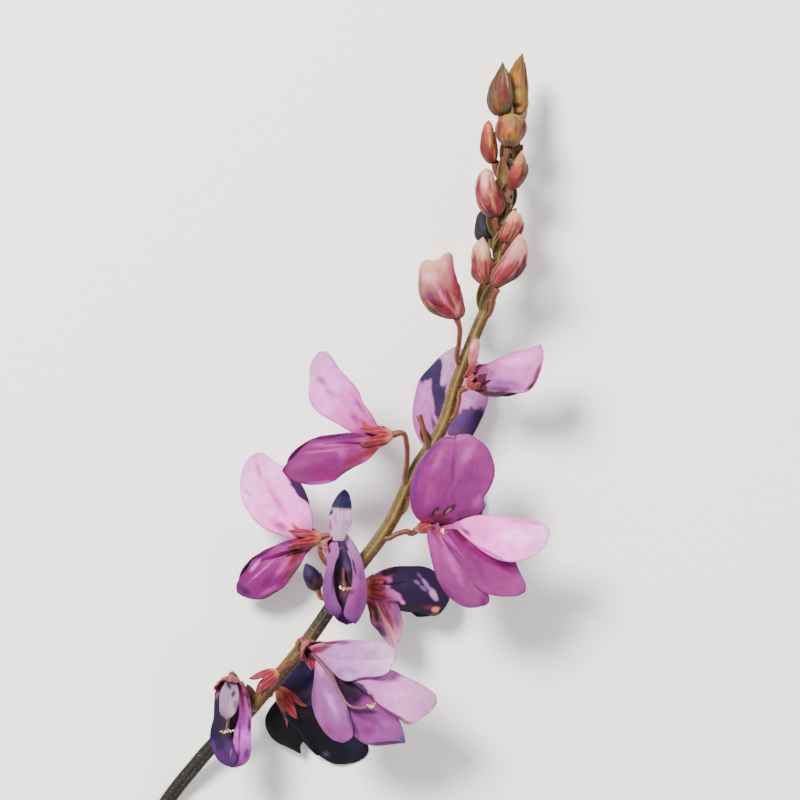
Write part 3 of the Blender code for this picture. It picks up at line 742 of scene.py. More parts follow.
def marked(tint, place, marks):
    """The painter with marks laid on it where they cover the place, seen from above.

    A mark is (x, y, half length, half width, angle, colour, softness), and its edge is uneven.
    Marks lay the tissue's own blushes, stripes and spots, and also painted shadows cast by other
    parts and painted highlights.
    """
    marks = [(*mark[:5], linear(mark[5]), mark[6]) for mark in marks]

    def shade(across, along):
        *colour, veins = tint(across, along)
        colour = Vector(colour)
        spot = place(across, along)
        uneven = 0.22 * noise.noise(spot * 1.4) + 0.12 * noise.noise(spot * 4)
        for x, y, long, wide, angle, mark, soft in marks:
            turn = math.radians(angle)
            ahead = (spot.x - x) * math.cos(turn) + (spot.y - y) * math.sin(turn)
            beside = (spot.y - y) * math.cos(turn) - (spot.x - x) * math.sin(turn)
            apart = math.hypot(ahead / long, beside / wide) + uneven
            colour = colour.lerp(mark, 1 - ease(1 - soft, 1 + soft / 2, apart))
        return (*colour, veins)

    return shade


def petal_sheet(
    seat,
    axis,
    tip,
    face,
    tint,
    width=0.0,
    right=(),
    left=(),
    marks=(),
    fold=-14.0,
    arch=0.05,
    bow=0.0,
    fullness=0.78,
    notch=0.0,
    wave=0.2,
    phase=0.0,
    crease=0.1,
    cells=(28, 38),
):
    """A petal whose claw rises out of the calyx along its axis and turns towards the tip.

    Its two edges, seen from above, run through the knots in right and left from claw to tip;
    without knots its width, bow and fullness shape it. The wave is the height of
    its margin's ripples, and the crease the depth of its middle line, in mm.
    """
    start = Vector(seat)
    way = Vector(tip) - start
    length = way.length
    way.normalize()
    side = Vector(face).cross(way).normalized()
    face = way.cross(side)
    claw = CLAW_WIDTH / 2
    spread = width / 2 - claw
    fold = math.radians(fold)

    def raised(a, x, along):
        """How far the sheet stands out of its own plane."""
        middle = 4 * along * (1 - along)
        bend = fold * math.sin(math.pi / 2 * min(1, 1.6 * along))
        rise = (math.hypot(x, 0.4) - 0.4) * math.sin(bend) + arch * length * middle
        ripple = math.sin(9 * along + phase) + 0.6 * math.sin(17 * along - 2 * phase + 2 * a)
        rise += wave * ripple * abs(a) ** 3 * ease(0.15, 0.6, along)
        rise += 0.5 * wave * math.sin(5 * along + 3 * a + phase) * ease(0.2, 0.6, along)
        return rise - crease * math.exp(-((a / 0.09) ** 2)) * middle

    if right:
        right, left = evenly(right), evenly(left)

        def place(across, share):
            a = 2 * across - 1
            along = max(0, (share - CLAW_SHARE) / (1 - CLAW_SHARE))
            across_line = left(along) - right(along)
            point = right(along) + across_line * across
            point -= way * notch * length * along**6 * math.exp(-((a / 0.25) ** 2))
            off = point - (start + way * length * along)
            lift = -(face.x * off.x + face.y * off.y) / max(0.5, face.z)
            point.z = start.z + way.z * length * along + max(-2, min(2, lift))
            point.z += raised(a, a * across_line.length / 2, along)
            point.z = max(point.z, LOWEST)
            sunk = max(0, 1 - share / CLAW_SHARE)
            return point.lerp(start - axis * CLAW_DEPTH + side * a * 0.5, sunk)

        return closed(grown_sheet(*cells, place, marked(tint, place, marks)))

    def place(across, share):
        a = 2 * across - 1
        along = max(0, (share - CLAW_SHARE) / (1 - CLAW_SHARE))
        half = claw + spread * math.sin(1.8 * along) ** fullness
        half *= 1 + 0.015 * math.sin(13 * along + phase) * ease(0.2, 0.5, along)
        x = a * half
        reach = along - 0.5 * along**2 * (1 - math.sqrt(1 - 0.92 * a * a))
        reach -= notch * along**6 * math.exp(-((a / 0.25) ** 2))
        middle = 4 * along * (1 - along)
        bend = fold * math.sin(math.pi / 2 * min(1, 1.6 * along))
        rise = raised(a, x, along)
        x = x * math.cos(bend) + bow * length * middle
        point = start + way * length * reach + side * x + face * rise
        sunk = max(0, 1 - share / CLAW_SHARE)
        return point - axis * CLAW_DEPTH * sunk + (way * 0.2 - side * x * 0.4) * sunk

    sheet = grown_sheet(*cells, place, marked(tint, place, marks))
    for vert in sheet.verts:
        vert.co.z = max(vert.co.z, LOWEST)
    return sheet


STANDARD_SEAT = 1.0
STANDARD_LEAD = 0.2


def standard(number, **shape):
    """A flower's standard, seated above the other petals at the mouth of its calyx."""
    head = HEADS[number]
    throat, axis, up = throat_axes(head)
    seat = throat + up * STANDARD_SEAT + axis * STANDARD_LEAD
    petal = petal_sheet(seat, axis, head["standard"], phase=1.7 * number, **shape)
    name = f"flower_{number:02d}_standard"
    finished(name + "_petal", petal, petal_tissue, [name], wall=PETAL_WALL)


# Flower 1 lies half in shade, and its standard's greyed lilac and dark patches are painted shade.
standard(
    1,
    face=(0, -0.3, 1), fold=24,
    right=[(-16.1, -31.75), (-16.7, -32.9), (-16.75, -34.5), (-16.5, -35.6), (-15.75, -36.25)],
    left=[(-14.75, -31.9), (-14.4, -33.1), (-14.5, -34.5), (-14.9, -35.5), (-15.75, -36.25)],
    tint=painted((0, "#73537A"), (0.3, "#826981"), (0.7, "#886F86"), (1, "#563E5E")),
    marks=[
        (-15.7, -32.25, 0.6, 0.25, -60, "#372A3D", 0.5), (-15.1, -33.25, 0.5, 0.25, 70, "#372135", 0.5),
        (-14.75, -34.5, 0.6, 0.3, 90, "#564367", 0.5),
    ],
)
# Flower 2 lies in the shadow of flower 3, so all its petals are painted near black: painted shadow.
standard(
    2,
    face=(0.1, 0, 1), fold=10,
    right=[(-6.9, -36.1), (-5.4, -35.1), (-4.4, -33.5), (-4.1, -31.4), (-4.4, -29.6), (-5.1, -28.1)],
    left=[(-9.9, -34.9), (-9.9, -33.1), (-9, -31.4), (-7.75, -29.75), (-6.5, -28.6), (-5.1, -28.1)],
    tint=painted((0, "#1B0C18"), (0.3, "#1F1733"), (0.6, "#21193F"), (1, "#201B29")),
    marks=[
        (-6.9, -30.1, 0.9, 0.5, 40, "#120B14", 0.5), (-7.5, -32.9, 0.75, 0.5, 60, "#2F1927", 0.5),
        (-5.9, -34.4, 1, 0.5, 30, "#170B14", 0.5),
    ],
)
# The dark line along this standard's lower edge is painted shadow, where the edge overhangs the wings.
standard(
    3,
    face=(0, -0.3, 0.95), fold=8,
    right=[
        (-4.4, -28.5), (-3, -30), (-1.25, -31.4), (0.9, -31.05), (2.9, -30.8), (4.25, -30.1),
        (4.6, -29.25), (5.1, -28.5),
    ],
    left=[
        (-5.9, -27.25), (-3.6, -26.6), (-1.6, -26.25), (0.6, -26.3), (2.6, -26.5), (4.25, -26.75),
        (5.05, -27.5), (5.1, -28.5),
    ],
    tint=painted((0, "#712C4A"), (0.1, "#A5649C"), (0.4, "#B076B2"), (1, "#D4A3D3")),
    marks=[
        (-4.6, -27.6, 1.1, 0.5, 5, "#6A1225", 0.6), (-2.6, -26.6, 2, 0.2, 4, "#571327", 0.6),
        (2.1, -30.95, 2, 0.2, 4, "#412035", 0.5), (-0.6, -30.1, 1.25, 0.5, -10, "#9868A7", 0.8),
        (-1.9, -30.5, 0.75, 0.5, -40, "#8F5896", 0.8), (1.9, -27.9, 1.5, 0.75, 0, "#9F77A5", 0.9),
        (3.9, -27.9, 0.9, 0.75, 0, "#C19DBA", 0.9), (-1.25, -26.6, 1, 0.3, 3, "#713E70", 0.8),
        (-3.75, -27.25, 1.1, 0.4, 20, "#712C4A", 0.7), (-2.75, -28.5, 1, 0.5, -35, "#B16EB2", 0.8),
    ],
)
# The dark purple patch near this standard's tip is painted shade on its inner side.
standard(
    4,
    face=(0.3, 0, 0.95), fold=16,
    right=[(1.4, -22), (1.75, -23.1), (2.05, -24.6), (2.9, -25.6), (3.9, -26.75), (5, -27.9)],
    left=[(5.1, -21.9), (5.6, -22.9), (5.9, -24.1), (5.9, -25.4), (5.5, -26.6), (5, -27.9)],
    tint=painted((0, "#943A5A"), (0.3, "#934772"), (1, "#BF789E"), veins=0.4),
    marks=[
        (2, -22.5, 0.75, 0.4, -60, "#6A1B27", 0.6), (4.25, -22.4, 0.75, 0.15, -80, "#791B39", 0.5),
        (3.25, -25.6, 1, 0.5, -50, "#533454", 0.5), (5.25, -23.6, 2, 0.5, -88, "#713F6E", 0.5),
        (1.75, -23.1, 1.25, 0.25, -78, "#4B3021", 0.4), (2.6, -23.5, 1.25, 0.3, -80, "#2D3C1F", 0.3),
        (3.5, -23.5, 1, 0.2, -68, "#603F34", 0.5), (4.25, -24.1, 1.9, 0.3, -68, "#77284A", 0.5),
        (3.75, -24.5, 3, 0.2, -66, "#C67E78", 0.4), (4.6, -25.9, 1.5, 0.25, -68, "#B69078", 0.5),
    ],
)
# The navy on this standard's outer third is painted shadow of flower 8's wings.
standard(
    5,
    face=(0.1, -0.25, 0.97), fold=-45, cells=(36, 56),
    right=[
        (-1.4, -14.1), (-0.9, -13), (-0.45, -11.9), (-0.4, -10.5), (-0.5, -9.25), (-0.8, -8.25),
        (-1.3, -7.8),
    ],
    left=[
        (-2.6, -14.1), (-3.2, -12.9), (-3.25, -11.5), (-3.05, -10.25), (-2.5, -9.1), (-1.9, -8.25),
        (-1.3, -7.8),
    ],
    tint=painted(
        (0, "#95758B"), (0.58, "#A985A8"), (0.62, "#967380"), (0.65, "#1E183A"), (1, "#1E193C"), veins=0.1
    ),
    marks=[
        (-3, -12.25, 0.9, 0.25, 90, "#7C3C72", 0.5), (-2.4, -11.6, 0.9, 0.3, 90, "#915E7F", 0.8),
        (-2.9, -10.6, 0.4, 0.25, 70, "#201937", 0.5),
    ],
)
# The sharp-edged dark violet mark on this standard is painted shadow of flower 8's wing.
standard(
    6,
    face=(-0.3, -0.35, 0.9), fold=10, cells=(40, 52),
    right=[
        (-5.4, -13.1), (-5.3, -11.6), (-5.6, -10), (-6.1, -8.4), (-6.9, -6.9), (-7.9, -5.75), (-9.1, -4.9),
        (-10.5, -4.1), (-11.6, -3.25), (-12.75, -3.5),
    ],
    left=[
        (-7.1, -14.1), (-8.75, -13.75), (-10.5, -13.25), (-12.1, -12.3), (-13.4, -10.75), (-14.3, -9),
        (-14.5, -7.25), (-14.2, -5.5), (-13.6, -4.25), (-12.75, -3.5),
    ],
    tint=painted((0, "#8F3045"), (0.06, "#BC549D"), (0.3, "#F77DD9"), (0.7, "#EE90E0"), (1, "#CC83BF")),
    marks=[
        (-7.1, -13, 1, 0.25, -50, "#942125", 0.5), (-6.25, -13.6, 1, 0.4, -20, "#801B29", 0.6),
        (-9.9, -9.1, 3, 0.5, -63, "#CB53A6", 0.9), (-9.4, -12.4, 1.25, 0.6, -30, "#A73D83", 0.9),
        (-12.1, -5.4, 1.5, 0.4, -75, "#C35F9E", 0.9), (-13.5, -8.25, 1.25, 0.25, -45, "#BB79C3", 0.9),
        (-10.4, -13.25, 1.6, 0.3, -15, "#C24CAC", 0.8), (-7.5, -10.6, 1, 0.75, -50, "#F77BDA", 0.9),
        (-7, -7.6, 2.5, 0.7, -54, "#331740", 0.12), (-7.55, -12.6, 0.9, 0.2, -55, "#B1462F", 0.5),
    ],
)
standard(
    7,
    face=(0.05, -0.12, 1), fold=7, notch=0.03, cells=(52, 60),
    right=[
        (12.1, -12), (13.9, -11.75), (15.5, -10.75), (16.25, -9.75), (16, -8.9), (16.6, -7.9),
        (17.2, -6.6), (17.4, -5.25), (17.05, -3.75), (16.4, -2.45), (15.25, -1.5), (14, -0.9),
        (12.5, -1.25),
    ],
    left=[
        (9.5, -11.9), (8.1, -11.6), (7.25, -10.6), (6.9, -9), (6.95, -7.1), (7.6, -5.1), (8.6, -3.55),
        (10, -2), (11.25, -1.25), (12.5, -1.25),
    ],
    tint=painted(
        (0, "#450C26"), (0.08, "#550A41"), (0.2, "#621554"), (0.5, "#701F60"), (0.8, "#7A2A69"),
        (0.93, "#96448B"), (1, "#B567A9"),
    ),
    marks=[
        (9.9, -10.55, 0.9, 0.3, 50, "#12030C", 0.3), (11.6, -10.3, 1, 0.4, 38, "#12050A", 0.3),
        (12.1, -6.9, 3.25, 0.15, 86, "#561250", 0.6), (8.6, -11.75, 1, 0.4, 5, "#64122C", 0.6),
        (10.75, -11.55, 1.5, 0.4, 4, "#420720", 0.6), (14.25, -6.4, 2.25, 1.5, 80, "#621C59", 0.9),
        (12.5, -7.9, 2, 0.75, 85, "#651958", 0.9), (10.4, -3.9, 1.75, 0.5, 65, "#91407D", 0.9),
        (14.1, -3.1, 1.75, 0.6, 60, "#913F80", 0.9), (9.4, -8.1, 1.5, 0.75, 80, "#7E2D66", 0.9),
        (12.1, -4.6, 2.75, 0.15, 84, "#611D59", 0.8), (7.5, -7.5, 3.25, 0.3, 80, "#5A1365", 0.8),
        (9.4, -3, 1.9, 0.3, 47, "#5E1965", 0.8), (15.25, -9.1, 1.1, 0.5, 60, "#863475", 0.9),
        (13.75, -10.6, 1.6, 0.4, 10, "#580F4F", 0.8), (10.25, -11.1, 1.5, 0.5, 0, "#4B0C2C", 0.8),
        (13.9, -11.3, 1.9, 0.3, 12, "#350F20", 0.6), (10, -10.45, 0.75, 0.25, 52, "#1B0511", 0.4),
        (11.75, -10.2, 0.9, 0.35, 38, "#1B080C", 0.4), (10.1, -10.5, 0.4, 0.1, 52, "#6D364B", 0.4),
        (11.7, -10.3, 0.55, 0.15, 40, "#785545", 0.4), (15.9, -9.75, 0.6, 0.3, 70, "#572265", 0.6),
        (8.6, -11.5, 0.75, 0.3, -20, "#641125", 0.6),
    ],
)
standard(
    8,
    face=(-0.35, -0.45, 0.8), fold=14, notch=0.07, cells=(40, 52),
    right=[
        (3, -0.1), (2.1, 1.6), (1, 3.1), (0.5, 4.5), (-0.75, 6), (-1.9, 7.25), (-2.75, 8.55), (-3.5, 9.3),
        (-4.4, 9.25), (-5.1, 8.5), (-5.5, 7.5), (-5.45, 5.9),
    ],
    left=[
        (0.9, -1.25), (-0.6, -0.5), (-2, 0.3), (-3.4, 1.1), (-4.75, 2), (-5.45, 3.1), (-5.7, 4.4),
        (-5.45, 5.9),
    ],
    tint=painted((0, "#86173F"), (0.06, "#A23A80"), (0.3, "#D260B8"), (0.6, "#E179D1"), (1, "#CC99BB")),
    marks=[
        (1.6, -0.1, 1.1, 0.3, -50, "#962234", 0.6), (-2.5, 5.4, 1.25, 0.9, -50, "#EC97E1", 0.9),
        (-4.1, 5.75, 0.9, 0.5, -40, "#9B6091", 0.8), (-3, 4.25, 1.4, 0.4, -50, "#AE6BAD", 0.9),
        (0.6, 2.75, 1.25, 0.3, -58, "#953E88", 0.9), (0, 1.25, 1, 0.5, -50, "#9B2F77", 0.9),
        (-1.25, 1.1, 1.5, 0.5, -35, "#D356AF", 0.9), (-4.4, 8.25, 0.75, 0.6, 0, "#D3A5C7", 0.9),
        (1.4, 0.4, 0.9, 0.25, -52, "#B14037", 0.5),
    ],
)
# The navy and violet patches on this standard are painted shadows of flower 10's wing and of the stem and
# stalks in front of it.
standard(
    9,
    face=(0, 0.12, 1), fold=10, cells=(48, 60),
    right=[
        (12.1, -4.4), (13.9, -2.6), (14.9, -1), (15.75, 0.6), (16.5, 2.4), (16.8, 3.75), (16.5, 5.9),
        (15.4, 8.1), (14.1, 9.6), (12.6, 10.1),
    ],
    left=[
        (10.6, -4.4), (9.1, -3.1), (7.9, -1.4), (7.25, 0.6), (7.2, 2.1), (7.5, 3.9), (8.1, 6), (9.5, 7.6),
        (11, 9.1), (12.6, 10.1),
    ],
    tint=painted((0, "#AB4E9B"), (0.3, "#A6529B"), (0.6, "#A764A4"), (1, "#A673A1")),
    marks=[
        (14.4, 0.25, 3, 2.1, 0, "#3E1654", 0.06), (15.6, 1.6, 1.1, 0.75, 60, "#2B1843", 0.5),
        (13.1, -0.6, 1.1, 0.5, 0, "#442143", 0.6), (9.5, 7.1, 2.1, 0.9, 42, "#282143", 0.15),
        (10.6, 4.4, 5, 0.95, -86, "#2E1D3F", 0.15), (9.9, 0.1, 1.5, 0.3, -78, "#55304D", 0.6),
        (11.4, 7.25, 2.4, 0.5, 78, "#A781A6", 0.2), (14.4, 3.9, 1.1, 0.6, -20, "#9E5597", 0.9),
        (8.75, 4.4, 1.1, 0.6, 80, "#B76EAE", 0.9),
    ],
)
standard(
    10,
    face=(0.3, 0.15, 0.9), fold=-10,
    right=[(15.1, 8), (15.4, 9), (15.5, 10), (15.4, 10.75), (15, 11.1)],
    left=[(14.25, 7.4), (14.1, 8.6), (14.4, 9.9), (14.6, 10.75), (15, 11.1)],
    tint=painted((0, "#9D3D43"), (0.3, "#AC6366"), (0.7, "#C77B86"), (1, "#B07170")),
)

# The wings and keels. Two side petals and, between them, two petals fused along their lower
# edge into a boat. All are thin tissue on claws that meet in the throat.

WING_SEAT = 0.45
KEEL_DROP = 0.2
WING_WAVE = 0.12


def side_petal(number, part, **shape):
    """A wing or the keel of a flower, seated low in its throat; left is the picture's left."""
    head = HEADS[number]
    throat, axis, up = throat_axes(head)
    side = axis.cross(up)
    low = throat - up * WING_SEAT
    left = 1 if (Vector(head["wing_left"]) - throat).dot(side) > 0 else -1
    seats = {
        "wing_left": low + side * WING_SEAT * left,
        "wing_right": low - side * WING_SEAT * left,
        "keel": low - up * KEEL_DROP,
    }
    petal = petal_sheet(
        seats[part], axis, head[part], wave=WING_WAVE, crease=0, phase=2.3 * number, **shape
    )
    node = f"flower_{number:02d}_wings_keel"
    finished(f"flower_{number:02d}_{part}", petal, petal_tissue, [node], wall=PETAL_WALL)


# This wing lies in the flower's shaded half and is painted near black: painted shade.
side_petal(
    1, "wing_left",
    face=(-0.5, 0, 0.85), fold=-20, arch=0.07,
    right=[
        (-16.75, -32), (-17.4, -33.1), (-17.55, -34.75), (-17.6, -36.25), (-18, -37.9), (-18, -39.4),
        (-17.5, -40.75), (-16.6, -41.8), (-15.2, -42.3),
    ],
    left=[
        (-16.1, -32.4), (-15.9, -34.1), (-15.6, -36), (-15.4, -37.9), (-15, -39.75), (-14.6, -41.4),
        (-15.2, -42.3),
    ],
    tint=painted(
        (0, "#743F67"), (0.1, "#5E2761"), (0.2, "#120623"), (0.6, "#110523"), (0.72, "#2F1043"),
        (1, "#341248"),
    ),
    marks=[
        (-17.25, -33.1, 1, 0.4, 85, "#6F3764", 0.5), (-16.6, -39.5, 1, 0.6, 60, "#19102E", 0.5),
        (-16.6, -40.9, 0.9, 0.45, -30, "#40084C", 0.7), (-17.55, -39.75, 0.75, 0.25, -70, "#421658", 0.6),
    ],
)
side_petal(
    1, "wing_right",
    face=(0.5, 0, 0.85), fold=-20, arch=0.07,
    right=[
        (-15.25, -32.4), (-14.6, -34.1), (-14.5, -36), (-14.9, -37.6), (-15.25, -39.4), (-15.5, -41.1),
        (-15, -42.3),
    ],
    left=[
        (-14, -31.75), (-13.4, -33.25), (-13.05, -35.1), (-12.95, -37.25), (-12.95, -39.1), (-13, -40.6),
        (-13.55, -41.8), (-15, -42.3),
    ],
    tint=painted((0, "#973C72"), (0.3, "#BA4EAC"), (0.6, "#C056BF"), (0.8, "#913490"), (1, "#562258")),
    marks=[
        (-13.4, -34.1, 1.75, 0.2, -80, "#612559", 0.8), (-14.4, -38.5, 2, 0.15, 88, "#632E66", 0.8),
        (-13.2, -37.25, 1.25, 0.25, 90, "#5E2058", 0.7), (-14.6, -41.1, 1, 0.3, 80, "#39043B", 0.7),
        (-14.1, -34.1, 1.5, 0.2, -82, "#873160", 0.8), (-13.5, -40.6, 0.75, 0.4, 80, "#522554", 0.8),
    ],
)
# The keel is painted dark in the same painted shade.
side_petal(
    1, "keel",
    face=(0, 0.1, 1), fold=20,
    right=[(-16, -34.1), (-16.1, -36), (-16.1, -37.6), (-16.1, -39.1), (-16.1, -40.6), (-15.25, -42)],
    left=[(-14.6, -34.1), (-14.25, -36), (-14.25, -37.6), (-14.4, -39.4), (-14.6, -40.9), (-15.25, -42)],
    tint=painted(
        (0, "#351F2E"), (0.25, "#38172C"), (0.4, "#58303E"), (0.55, "#271037"), (0.8, "#380D4B"),
        (1, "#320949"),
    ),
    marks=[
        (-15.6, -36.25, 1, 0.3, 80, "#220813", 0.5), (-14.9, -36.75, 0.6, 0.4, 60, "#582D39", 0.7),
        (-14.9, -35.1, 0.75, 0.4, 90, "#412E52", 0.8),
    ],
)
# Flower 2's wings and keel are painted near black too: painted shadow.
side_petal(
    2, "wing_left",
    face=(-0.2, 0.1, 1),
    right=[
        (-9.9, -34.4), (-11, -35.9), (-11.45, -37.25), (-11, -38.9), (-10.1, -39.9), (-8.9, -40.5),
        (-7.9, -40.95), (-7, -41.4),
    ],
    left=[(-7.4, -35.6), (-6.5, -36.9), (-6.25, -38.5), (-6.6, -39.75), (-7, -40.5), (-7, -41.4)],
    tint=painted((0, "#120B14"), (0.4, "#05060A"), (1, "#050605"), veins=0.1),
    marks=[(-10.9, -38.25, 1, 0.4, -70, "#151A19", 0.8)],
)
side_petal(
    2, "wing_right",
    face=(0.1, -0.1, 1), cells=(36, 48),
    right=[
        (-8.6, -36.1), (-7.9, -37.9), (-6.6, -39.9), (-5.25, -41.25), (-4.1, -42.1), (-3, -42.75),
        (-1.4, -42.9),
    ],
    left=[
        (-6.1, -34.6), (-3.75, -35.6), (-1.25, -37.4), (0.9, -39.25), (1.5, -40.4), (1.6, -41.4),
        (0.6, -42.45), (-1.4, -42.9),
    ],
    tint=painted((0, "#1B0C18"), (0.4, "#050407"), (0.7, "#080512"), (1, "#0D0921"), veins=0.1),
    marks=[
        (0.1, -40.6, 1.5, 1.1, -60, "#181131", 0.8), (-3.75, -41.5, 0.45, 0.4, 0, "#362C35", 0.7),
        (-5.6, -38.5, 2, 1.25, -50, "#07050A", 0.8),
    ],
)
side_petal(
    2, "keel",
    face=(0.5, 0.3, 0.8), width=4.0, fold=40,
    tint=painted((0, "#110B23"), (1, "#0D091D"), veins=0.1),
)
side_petal(
    3, "wing_left",
    face=(-0.4, 0, 0.9), fold=-10, cells=(32, 48),
    right=[
        (-4.9, -28.5), (-4.95, -30.1), (-5.1, -31.9), (-5.3, -33.5), (-5.1, -35.1), (-4.5, -36.6),
        (-3.5, -38), (-2.5, -38.75), (-1.4, -38.95),
    ],
    left=[
        (-3.9, -28.9), (-2.75, -30.4), (-1.9, -32.4), (-1.1, -34.1), (-0.55, -35.75), (-0.2, -37.1),
        (-0.25, -38.25), (-1.4, -38.95),
    ],
    tint=painted((0, "#A26293"), (0.3, "#7B4179"), (0.6, "#7B407C"), (0.85, "#71306C"), (1, "#70306D")),
    marks=[
        (-3.6, -29.75, 1, 0.3, -60, "#602B43", 0.6), (-2.1, -32.9, 1.75, 0.15, -68, "#703F6C", 0.7),
        (-5.05, -33.9, 2.5, 0.3, 88, "#682D66", 0.8), (-2.9, -34.1, 2, 0.5, -65, "#A563A8", 0.9),
        (-0.55, -36.1, 1.6, 0.3, -68, "#491960", 0.6), (-4.25, -30.1, 1, 0.4, -75, "#AE6AA1", 0.9),
        (-3.1, -37.5, 1.1, 0.5, -40, "#682C65", 0.9),
    ],
)
# The dark at the base of this wing and of the keel is the throat's own maroon, deepened with painted
# shadow of the standard above it.
side_petal(
    3, "wing_right",
    face=(0, 0.35, 0.93), cells=(36, 52),
    right=[
        (-3.4, -29.6), (-0.6, -31.4), (1.4, -32.9), (3.4, -34.5), (5.1, -35.7), (6.75, -36.7),
        (8.25, -35.9), (9.5, -35), (10.1, -34.1),
    ],
    left=[
        (-3.1, -28.9), (0.1, -28.9), (4.1, -29.9), (6.1, -30.8), (8.1, -31.75), (9.4, -32.55), (10, -33.1),
        (10.1, -34.1),
    ],
    tint=painted(
        (0, "#2F0C24"), (0.14, "#381630"), (0.24, "#994F93"), (0.4, "#A95EA0"), (0.7, "#B876AE"),
        (1, "#9C7092"),
    ),
    marks=[
        (2.1, -30.75, 1.5, 0.6, -25, "#94438E", 0.8), (1.4, -32.9, 1.5, 0.25, -38, "#380F2C", 0.4),
        (0.25, -32.5, 2.1, 1, -35, "#210B2A", 0.2), (2.1, -33.5, 0.75, 0.3, -80, "#370E25", 0.6),
        (4.75, -35.45, 2.4, 0.3, -28, "#522B4B", 0.5), (6.6, -36.45, 0.6, 0.25, 0, "#663C50", 0.6),
        (5.6, -32.9, 1.75, 0.75, 0, "#C981BF", 0.9), (8.75, -33.4, 1, 0.75, 0, "#B37CA6", 0.9),
    ],
)
# Its dark base is the throat's maroon deepened with painted shadow of the standard.
side_petal(
    3, "keel",
    face=(0.2, 0.3, 0.9), fold=8, cells=(32, 48),
    right=[
        (-3.75, -29.6), (-2.6, -32), (-1.75, -34), (-1.1, -35.75), (-0.6, -37.25), (0.4, -38.5),
        (2.1, -39.3), (4.4, -39.3), (6.25, -39.1),
    ],
    left=[
        (-2.1, -29.6), (-0.1, -31.6), (1.9, -32.5), (3.6, -33.9), (4.75, -35.25), (5.5, -36.25),
        (6, -37.5), (6.25, -39.1),
    ],
    tint=painted(
        (0, "#260E21"), (0.3, "#2F0E31"), (0.42, "#360640"), (0.5, "#732E68"), (0.8, "#7A3B79"),
        (1, "#5B4569"),
    ),
    marks=[
        (-0.4, -32.9, 1.75, 0.75, -55, "#1D061E", 0.5), (-1.75, -32.9, 1.75, 0.25, -62, "#4B1D30", 0.6),
        (3.9, -39.1, 2, 0.2, 2, "#241B31", 0.4), (1.1, -35.25, 2.1, 0.4, -4, "#370B41", 0.4),
        (1.5, -37.6, 1, 0.6, 0, "#6C2366", 0.8), (3.6, -36.5, 1.25, 0.5, -40, "#8B4485", 0.8),
        (3.6, -39.2, 2, 0.2, 0, "#4B224D", 0.6), (0.2, -37.5, 1.25, 0.3, -75, "#4F1C54", 0.7),
        (6, -38.75, 0.5, 0.4, 0, "#473466", 0.7),
    ],
)
# Flower 4 lies in the shadow of flower 7: past its pink base this wing is painted near black, a painted
# shadow crossed by a streak of painted light in lilac marks.
side_petal(
    4, "wing_left",
    face=(0.1, 0.15, 1), cells=(44, 60),
    right=[
        (2.1, -21.75), (3.9, -22.4), (5.6, -23.1), (7.5, -23.4), (9.1, -23.75), (10.25, -23.75),
        (11.1, -23), (11.75, -21.9),
    ],
    left=[
        (2.1, -18.75), (3.4, -18), (4.9, -17.6), (6.9, -17.55), (9.1, -17.75), (10.6, -18.75),
        (11.75, -20.5), (11.75, -21.9),
    ],
    tint=painted(
        (0, "#8C2936"), (0.1, "#993576"), (0.24, "#8B3675"), (0.3, "#1B092B"), (0.6, "#1A072A"),
        (0.85, "#1A0D29"), (1, "#15091D"), veins=0.15,
    ),
    marks=[
        (3.6, -19.5, 1.1, 0.75, 25, "#903872", 0.4), (4.4, -21.1, 1.2, 0.65, -35, "#944280", 0.4),
        (2.75, -19.5, 0.9, 0.15, 5, "#771626", 0.5), (2.9, -20.9, 0.9, 0.15, -6, "#6A111E", 0.5),
        (3.9, -18.75, 1, 0.2, 8, "#73214E", 0.6), (5.9, -22, 0.5, 0.25, -50, "#C45DA6", 0.4),
        (5, -21.1, 1.1, 0.45, -42, "#9E538A", 0.3), (4.25, -18.3, 1.25, 0.45, 10, "#1B0818", 0.4),
        (3.1, -20.6, 0.75, 0.25, -5, "#AB5156", 0.5), (3.75, -21.45, 1, 0.25, -8, "#8A353E", 0.5),
        (3.6, -20, 0.75, 0.2, -15, "#CB6288", 0.5), (3.25, -19.1, 0.75, 0.2, 5, "#B44073", 0.5),
        (2.9, -21.9, 0.75, 0.25, -12, "#711F2F", 0.5), (4.6, -22.2, 1, 0.2, -15, "#613048", 0.5),
        (7.1, -22.75, 2.1, 0.4, -8, "#1B1319", 0.6), (6.1, -19.5, 1.1, 1, 0, "#1C1132", 0.9),
        (9.8, -21.1, 0.95, 0.4, -58, "#A16D9C", 0.35), (8.95, -19.9, 1, 0.25, -56, "#805886", 0.4),
        (8.05, -18.75, 0.5, 0.15, -52, "#573C67", 0.5), (7.75, -19.6, 0.5, 0.2, -38, "#6B4879", 0.5),
        (8.5, -20.3, 0.6, 0.2, -40, "#654274", 0.5), (9.1, -22.7, 0.75, 0.3, 5, "#4B1A27", 0.7),
        (10.1, -23, 0.55, 0.4, 15, "#B86947", 0.5), (9.9, -23.65, 1, 0.15, 5, "#3F4224", 0.6),
    ],
)
